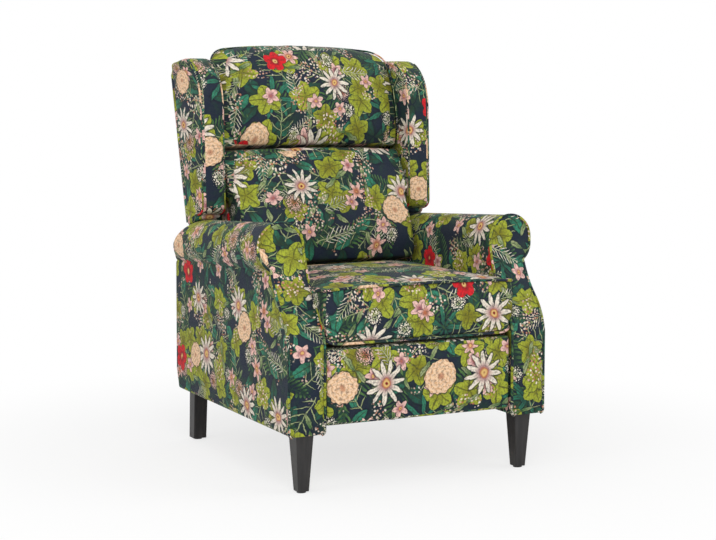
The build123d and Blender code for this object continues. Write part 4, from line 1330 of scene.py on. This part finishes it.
def pillow_start(rows, half_at, inset):
    """A pillow before it is filled: at each height a flat rear, straight sides and a crowned
    front; the half width comes from a function of the height."""
    up = np.linspace(rows[0, 0] + inset, rows[-1, 0] - inset, 60)
    edge, crown = smooth_rows(rows, up)
    half = half_at(up) - inset
    share = np.linspace(-1, 1, 60)[None, :]
    x_front = half[:, None] * np.sin(share * pi / 2)
    depth = edge[:, None] + (crown - edge)[:, None] * rise_and_fall(np.sin(share * pi / 2), 2.4)
    behind_front = depth + inset
    x_side = np.repeat(half[:, None], 10, axis=1)
    side_share = np.linspace(0, 1, 12)[None, 1:-1]
    rear = PILLOW_REAR - inset
    behind_side = (edge[:, None] + inset) * (1 - side_share) + rear * side_share
    x_rear = -x_front
    behind_rear = np.full_like(x_rear, rear)
    x = np.concatenate([x_front, x_side, x_rear, -x_side], axis=1)
    behind = np.concatenate([behind_front, behind_side, behind_rear, behind_side[:, ::-1]], axis=1)
    return lean(x, behind, up[:, None])


def lumbar_half(up):
    """Half width of the lumbar pillow: narrow between the arms, wider above them."""
    above = smooth_step(PILLOW_STEP, PILLOW_STEP + 20, up)
    return PILLOW_LOW_HALF + (PILLOW_HALF - PILLOW_LOW_HALF) * above


HEAD_TOP_UP = np.array([660.0, 670, 680, 688, 694, 699, 703, 706, 709, 711.5, 713.5, 714.5])


def head_half(up):
    """Half width of the head pillow: straight, then round shoulders up to the flat top."""
    outline = chain(
        line((PILLOW_HALF, 400), (PILLOW_HALF, 648)),
        arc((PILLOW_HALF, 648), (251, 683), (210, 704)),
        arc((210, 704), (120, 713), (30, BACK_TOP + 6)),
    )
    return np.interp(up, outline[:, 1], outline[:, 0])


def make_pillow(name, node, rows, half_at, top):
    """One back pillow, filled, with its cloth laid on front, sides, top and rear. top shifts
    the cloth, so that the two pillows show different parts of the print."""
    inset = 4.0
    low, high = rows[0, 0], rows[-1, 0]

    def held(x, behind, up):
        rear = behind > PILLOW_REAR - 14
        sides = np.abs(x) > half_at(up) - inset - 6
        return rear | sides | (up < low + 9) | (up > high - 9)

    def seam_distance(x, _, up):
        ends = np.minimum(up - low, high - up)
        return np.minimum(ends, half_at(up) - np.abs(x)), x + up

    def panels(x, behind, up):
        return [
            (behind + 150, x + top, up + top),
            (half_at(up) - np.abs(x), behind + 400, up),
            (high - up, x + top, behind),
            (PILLOW_REAR - behind, x + 800, up),
        ]

    rings = pillow_start(rows, half_at, inset)
    pillow = filled_piece(
        name, rings, unlean, held, seam_distance, panels, creases=1.6, cap=16.0
    )
    dressed(pillow, "back", node, fill=0.85)


def rounded_ring(x0, x1, y0, y1, corner, per_side=10, per_corner=6):
    """Rectangles with round corners, one for each row of the bounds: quarter circles, whose
    radius is at most half of either side, each followed by a straight run to the next."""
    radius = np.minimum(corner, np.minimum((x1 - x0) / 2, (y1 - y0) / 2))
    angle = np.linspace(0, pi / 2, per_corner)[None, :]
    run = np.linspace(0, 1, per_side)[None, 1:-1]
    radius, x0, x1, y0, y1 = (value[:, None] for value in (radius, x0, x1, y0, y1))
    left, right, near, far = x0 + radius, x1 - radius, y0 + radius, y1 - radius
    centres = [(right, near), (right, far), (left, far), (left, near)]
    xs, ys = [], []
    for index, (cx, cy) in enumerate(centres):
        start, end = (index - 1) * pi / 2, index * pi / 2
        nx, ny = centres[(index + 1) % 4]
        xs += [cx + radius * np.cos(start + angle), cx + radius * cos(end) + (nx - cx) * run]
        ys += [cy + radius * np.sin(start + angle), cy + radius * sin(end) + (ny - cy) * run]
    return np.concatenate(xs, axis=1), np.concatenate(ys, axis=1)


WING_FRONT = chain(
    line((600, 606), (600, 607), 2),
    arc((600, 608), (575, 616), (565, 641)),
    line((565, 641), (574, 905)),
    arc((574, 905), (600, 971), (655, 1013)),
    arc((655, 1013), (684, 1024), (714, 1025)),
)


def wing_bounds(z):
    """Front and rear depth of the wing at a height: its front curve and the leaning back."""
    front = np.interp(z, WING_FRONT[:, 1], WING_FRONT[:, 0])
    run = (z - BACK_FOOT[1] - COVER * sin(BACK_LEAN)) / cos(BACK_LEAN)
    rear = BACK_FOOT[0] + run * sin(BACK_LEAN) - COVER * cos(BACK_LEAN)
    return front, rear


def make_head_piping():
    """Thin piping round the head pillow's front panel: up one side, over the shoulders and the
    top, and down the other side, a little behind the pillow's front edge."""
    up = np.concatenate([np.linspace(CREASE_UP + 16, 648, 60), HEAD_TOP_UP])
    half = head_half(up) - 1.0
    edge = smooth_rows(HEAD_ROWS, up)[0] + 4.0
    right = np.stack([half, edge, up], axis=1)
    route = np.concatenate([right, right[::-1] * (-1, 1, 1)])
    path = even(lean(route[:, 0], route[:, 1], route[:, 2]), 240)
    piping = tube_piece("head_piping", path, THIN_PIPE, shift=(0.8, 0.7))
    dressed(piping, "back")


def make_wing(name, side):
    """One wing: a tall pad with round edges, its front band slightly crowned, with piping down
    the outer and the inner front edge."""
    angle = np.linspace(0, pi / 2, 6)
    low, high = WING_LOW + WING_EDGE, WING_HIGH - WING_EDGE
    bottom = WING_LOW + WING_EDGE * (1 - np.cos(angle[:-1]))
    levels = np.concatenate([bottom, np.linspace(low, high, 90), high + WING_EDGE * np.sin(angle[1:])])
    draw = WING_EDGE * np.concatenate([1 - np.sin(angle[:-1]), np.zeros(90), 1 - np.cos(angle[1:])])
    front, rear = wing_bounds(levels)
    front = np.minimum(front, rear - 30)
    x0, x1 = WING_INNER + 1 + draw, WING_OUTER - draw
    x, y = rounded_ring(x0, x1, front + draw, rear - draw * 0.3, 11.0)
    levels, front, rear = levels[:, None], front[:, None], rear[:, None]
    middle = (WING_INNER + WING_OUTER) / 2
    crown = 4.0 * rise_and_fall((x - middle) / 34.0) * smooth_step(26, 0, y - front)
    y = y - np.maximum(crown, 0)
    reach = (y - front) / (rear - front)
    swell = 6.5 * smooth_step(middle, WING_OUTER - 4, x) * smooth_step(0.1, 0.6, reach)
    fall = 2 * WING_RISE * smooth_step(0.0, 1.0, reach) - WING_RISE
    sag = smooth_step(0.1, 0.9, reach) * smooth_step(295, 335, x) * smooth_step(960, 1012, levels)
    z = levels - fall * smooth_step(650, 600, levels) - 10.0 * sag
    wing = ring_piece(f"{name}_wing_dress", place(side * (x + swell), y, z), (0.17 * side, 0.0))
    dressed(wing, "back", f"{name}_wing_cover", fill=0.9)
    for edge_name, across in (("outer", WING_OUTER - 3), ("inner", WING_INNER + 4)):
        z = np.linspace(WING_LOW + 14, 1012, 130)
        y = wing_bounds(z)[0] + 2.0
        raised = z + WING_RISE * smooth_step(650, 600, z)
        path = even(place(side * across, y, raised), 150)
        piping_name = f"{name}_wing_{edge_name}_piping"
        piping = tube_piece(piping_name, path, THIN_PIPE, up=(1, 0, 0), shift=(0.6, 0.1))
        dressed(piping, "back")


def outside_half(up):
    """Half width of the outside back at a height along its slope."""
    outline = np.array(
        [
            (0, 236), (118, 236), (124, 248), (246, 248), (250, 340), (650, 341), (668, 335),
            (679, 320), (684, 262), (697, 190), (704, 110), (708, 40), (709, 10),
        ]
    )
    return np.interp(up, outline[:, 0], outline[:, 1])


def make_outside_back():
    """The rear panel: flat cloth drawn tight over the frame, with round edges."""
    marks = [118, 124, 246, 250, 650, 668, 679, 684, 697, 704]
    up = np.unique(np.concatenate([np.linspace(6, 708, 150), marks]))
    half = outside_half(up)
    rear = 1.5 + 3.0 * rise_and_fall((up - 350) / 360)
    x, behind = rounded_ring(-half, half, np.full_like(up, -COVER + 0.5), rear, 5.0, per_side=40)
    panel = ring_piece("outside_back_dress", lean(x, behind, up[:, None]), (0.5, 0.9))
    dressed(panel, "back", "outside_back", fill=0.9)


def leaning_slab(name, low, high, half_from, half_to, front, rear):
    """A thin cloth slab on the leaning back between two heights, two widths and two depths."""
    inset = np.array([1.5, 0.5, 0.0])
    up = np.concatenate([low + inset[::-1], np.linspace(low + 4, high - 4, 40), high - inset])
    draw = np.concatenate([inset, np.zeros(40), inset[::-1]]) * 0.6
    bounds = (half_from + draw, half_to - draw, front + draw, rear - draw)
    x, behind = rounded_ring(*bounds, 2.0, per_side=30)
    dressed(ring_piece(name, lean(x, behind, up[:, None]), (0.35, 0.6)), "back")


def make_frame_cloth():
    """Cloth down the two sides of the back frame and over its low front, behind the seat."""
    band = (PILLOW_REAR - 2, -COVER + 1)
    leaning_slab("left_frame_band", 182.0, 262.0, 239.5, 247.0, *band)
    leaning_slab("right_frame_band", 182.0, 262.0, -247.0, -239.5, *band)
    leaning_slab("low_frame_cloth", 34.0, 112.0, -240.0, 240.0, PILLOW_REAR - 4, PILLOW_REAR - 0.5)


def make_apron():
    """The panel between the arms at the rear, under the back."""
    steps = np.array([0.0, 1.5, 4.5])
    middle = np.linspace(APRON_LOW + 8.5, APRON_HIGH - 8.5, 40)
    z = np.concatenate([APRON_LOW + steps, middle, APRON_HIGH - steps[::-1]])
    draw = np.array([4.0, 2.0, 0.6])
    inset = np.concatenate([draw, np.zeros(40), draw[::-1]])
    half = ARM_INNER - 1 - inset * 0.3
    swell = 2.5 * rise_and_fall((z - APRON_MIDDLE) / APRON_REACH)
    x, y = rounded_ring(-half, half, 714.5 + inset, 726 - inset + swell, 4.0, per_side=30)
    apron = ring_piece("rear_apron_dress", place(x, y, z[:, None]), (0.2, 1.7))
    dressed(apron, "base", "rear_apron", fill=0.9)


def foot_edge(x, z):
    """Distance from the footrest pad's nearest end or side."""
    return np.minimum(np.minimum(z - FOOT_BOTTOM, FOOT_TOP - z), FOOT_HALF - np.abs(x))


def foot_held(x, y, z):
    """The footrest pad's rear and its edges stay where they are while it is filled."""
    return (y > FOOT_REAR - 12) | (foot_edge(x, z) < 5)


def foot_panels(x, y, z):
    """The footrest pad's front, sides, top, bottom and rear."""
    return [
        (y - FOOT_FRONT, x + 90, z + 610),
        (FOOT_HALF - np.abs(x), y, z),
        (FOOT_TOP - z, x + 90, y),
        (z - FOOT_BOTTOM, x + 90, y),
        (FOOT_REAR - y, x + 90, z),
    ]


def make_footrest():
    """The footrest pad: a flat board's pad, filled, with a crowned front."""
    z = np.linspace(FOOT_BOTTOM - 4.5, FOOT_TOP + 1, 60)
    middle, reach = (FOOT_BOTTOM + FOOT_TOP) / 2, (FOOT_TOP - FOOT_BOTTOM) / 2
    half = np.full_like(z, FOOT_HALF + 1.5)
    front = FOOT_FRONT - 1 + 3 * np.abs((z - middle) / reach) ** 20
    rear = np.full_like(z, FOOT_REAR - 0.5)
    x, y = rounded_ring(-half, half, front, rear, 7.0, per_side=60)
    pad = filled_piece(
        "footrest_dress", place(x, y, z[:, None]), unplace, foot_held,
        lambda x, _, z: (foot_edge(x, z), x + z), foot_panels, creases=0.8, cap=7.0,
    )
    dressed(pad, "footrest", "footrest_pad", fill=0.85)


# ---- stage -----------------------------------------------------------------------------


def make_floor(settings):
    """A pale floor that takes the chair's shadow and fades to plain white for the camera."""
    mesh = bpy.data.meshes.new("floor")
    reach = FLOOR_REACH
    corners = [(-reach, -reach, 0), (reach, -reach, 0), (reach, reach, 0), (-reach, reach, 0)]
    mesh.from_pydata(corners, [], [(0, 1, 2, 3)])
    floor = new_object("floor", mesh)
    material, wires, shader = new_material("floor")
    row = {"Base Color": (0.90, 0.90, 0.90), "Roughness": 0.9, "Specular IOR Level": 0.0}
    pale = wires.feed(shader, row)[0]
    glow = wires.node("ShaderNodeEmission", {"Color": (1.0, 1.0, 1.0), "Strength": 1.0})[0]
    seen = wires.node("ShaderNodeLightPath")["Is Camera Ray"]
    away = wires.vector("LENGTH", wires.here())
    share = seen * wires.between(away, 0.45, 1.5, settings.floor_glow, 1.0)
    mixed = wires.node("ShaderNodeMixShader", (share, pale, glow))[0]
    wires.feed(material.node_tree.nodes["Material Output"], {"Surface": mixed})
    mesh.materials.append(material)


def make_world(settings):
    """An even light from all round, which the camera and reflections see as plain white."""
    world = bpy.data.worlds.new("studio")
    bpy.context.scene.world = world
    world.use_nodes = True
    wires = Wires(world.node_tree)
    path = wires.node("ShaderNodeLightPath")
    shown = wires.math("MAXIMUM", path["Is Camera Ray"], path["Is Glossy Ray"])
    strength = wires.between(shown, 0.0, 1.0, settings.world_light, 1.0, smooth=False)
    row = {"Color": (1.0, 1.0, 1.0), "Strength": strength}
    wires.feed(world.node_tree.nodes["Background"], row)


def make_lamps(settings):
    """Large soft lamps, turned so that their -Z points at the chair."""
    for name, (spot, size, power) in LAMPS.items():
        light = bpy.data.lights.new(name, "AREA")
        light.size = size
        light.energy = power * settings.lamp_level
        lamp = new_object(name, light)
        lamp.location = spot
        direction = Vector(LAMP_TARGET) - Vector(spot)
        lamp.rotation_euler = direction.to_track_quat("-Z", "Y").to_euler()


def make_camera():
    """The camera of the photo's view."""
    view = bpy.data.cameras.new("view")
    view.lens = CAMERA_LENS
    view.sensor_width = 36.0
    camera = new_object("view", view)
    camera.location = CAMERA_PLACE
    camera.rotation_euler = [radians(angle) for angle in CAMERA_TURN]
    bpy.context.scene.camera = camera
    bpy.context.scene.view_settings.view_transform = "Standard"


# ---- settings, operators and panel -----------------------------------------------------


def colour_property(label, colour):
    """A setting for one colour of the print."""
    return bpy.props.FloatVectorProperty(
        name=label, description=f"Colour of the print: {label.lower()}", subtype="COLOR",
        size=3, min=0.0, max=1.0, default=colour,
    )


class RECLINER_PG_settings(bpy.types.PropertyGroup):
    """Sizes and colours that a user would change."""

    print_scale: bpy.props.FloatProperty(
        name="Print scale", description="Size of the print's motifs against their real size",
        default=1.35, min=0.3, max=3.0, subtype="FACTOR",
    )
    leg_colour: bpy.props.FloatVectorProperty(
        name="Leg colour", description="Stain of the legs", subtype="COLOR", size=3,
        min=0.0, max=1.0, default=(0.010, 0.009, 0.009),
    )
    world_light: bpy.props.FloatProperty(
        name="World light", description="Strength of the even light from all round",
        default=0.36, min=0.0, max=2.0,
    )
    lamp_level: bpy.props.FloatProperty(
        name="Lamp level", description="Strength of the four lamps", default=1.0, min=0.0, max=4.0,
    )
    floor_glow: bpy.props.FloatProperty(
        name="Floor white", description="How much of the floor's own white the camera sees",
        default=0.72, min=0.0, max=1.0, subtype="FACTOR",
    )
    ground: colour_property(*PRINT_COLOURS["ground"])
    pine: colour_property(*PRINT_COLOURS["pine"])
    teal: colour_property(*PRINT_COLOURS["teal"])
    fern: colour_property(*PRINT_COLOURS["fern"])
    jade: colour_property(*PRINT_COLOURS["jade"])
    olive: colour_property(*PRINT_COLOURS["olive"])
    lime: colour_property(*PRINT_COLOURS["lime"])
    stem: colour_property(*PRINT_COLOURS["stem"])
    cream: colour_property(*PRINT_COLOURS["cream"])
    blush: colour_property(*PRINT_COLOURS["blush"])
    rose: colour_property(*PRINT_COLOURS["rose"])
    rust: colour_property(*PRINT_COLOURS["rust"])
    apricot: colour_property(*PRINT_COLOURS["apricot"])
    peach: colour_property(*PRINT_COLOURS["peach"])
    wine: colour_property(*PRINT_COLOURS["wine"])
    poppy: colour_property(*PRINT_COLOURS["poppy"])


class RECLINER_OT_finishes(bpy.types.Operator):
    """Build the shader groups and materials, and give every frame part its finish"""

    bl_idname = "recliner.finishes"
    bl_label = "Finishes"

    def execute(self, context):
        for build in GROUP_BUILDERS:
            build()
        for maker in MAKERS:
            maker(context.scene.recliner)
        slots = {row["node"]: row["material_slot"] for row in frame["record"]["subparts"]}
        for node, piece in frame["nodes"].items():
            material = bpy.data.materials[slots[node]]
            if not piece.material_slots:
                piece.data.materials.append(material)
            for slot in piece.material_slots:
                slot.material = material
        return {"FINISHED"}


class RECLINER_OT_arms(bpy.types.Operator):
    """Cover both arms, with their front panels and piping"""

    bl_idname = "recliner.arms"
    bl_label = "Arms"

    def execute(self, context):
        for name, side in SIDES.items():
            make_arm(name, side)
        return {"FINISHED"}


class RECLINER_OT_seat(bpy.types.Operator):
    """Fill and cover the seat, with its front piping"""

    bl_idname = "recliner.seat"
    bl_label = "Seat"

    def execute(self, context):
        make_seat()
        return {"FINISHED"}


class RECLINER_OT_back(bpy.types.Operator):
    """Fill the pillows and cover the wings and the outside back"""

    bl_idname = "recliner.back"
    bl_label = "Back"

    def execute(self, context):
        make_pillow("lumbar_dress", "lumbar_pillow", LUMBAR_ROWS, lumbar_half, 0)
        make_pillow("head_dress", "head_pillow", HEAD_ROWS, head_half, 700)
        make_head_piping()
        for name, side in SIDES.items():
            make_wing(name, side)
        make_frame_cloth()
        make_outside_back()
        return {"FINISHED"}


class RECLINER_OT_base(bpy.types.Operator):
    """Cover the rear apron and the footrest"""

    bl_idname = "recliner.base"
    bl_label = "Apron and footrest"

    def execute(self, context):
        make_apron()
        make_footrest()
        return {"FINISHED"}


class RECLINER_OT_stage(bpy.types.Operator):
    """Set up the floor, backdrop, lamps and camera"""

    bl_idname = "recliner.stage"
    bl_label = "Stage"

    def execute(self, context):
        for step in (make_floor, make_world, make_lamps):
            step(context.scene.recliner)
        make_camera()
        return {"FINISHED"}


OPERATORS = (
    RECLINER_OT_stage, RECLINER_OT_finishes, RECLINER_OT_arms, RECLINER_OT_seat, RECLINER_OT_back,
    RECLINER_OT_base,
)


class RECLINER_PT_panel(bpy.types.Panel):
    """Lists the settings and the steps"""

    bl_label = "Recliner"
    bl_idname = "RECLINER_PT_panel"
    bl_space_type = "VIEW_3D"
    bl_region_type = "UI"
    bl_category = "Recliner"

    def draw(self, context):
        for name in RECLINER_PG_settings.__annotations__:
            self.layout.prop(context.scene.recliner, name)
        for step in OPERATORS:
            self.layout.operator(step.bl_idname)


CLASSES = (RECLINER_PG_settings, *OPERATORS, RECLINER_PT_panel)


def register():
    for item in CLASSES:
        bpy.utils.register_class(item)
    bpy.types.Scene.recliner = bpy.props.PointerProperty(type=RECLINER_PG_settings)


def unregister():
    del bpy.types.Scene.recliner
    for item in reversed(CLASSES):
        bpy.utils.unregister_class(item)


def main():
    """Register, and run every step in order."""
    register()
    bpy.ops.recliner.stage()
    bpy.ops.recliner.finishes()
    bpy.ops.recliner.arms()
    bpy.ops.recliner.seat()
    bpy.ops.recliner.back()
    bpy.ops.recliner.base()


if __name__ == "__main__":
    main()
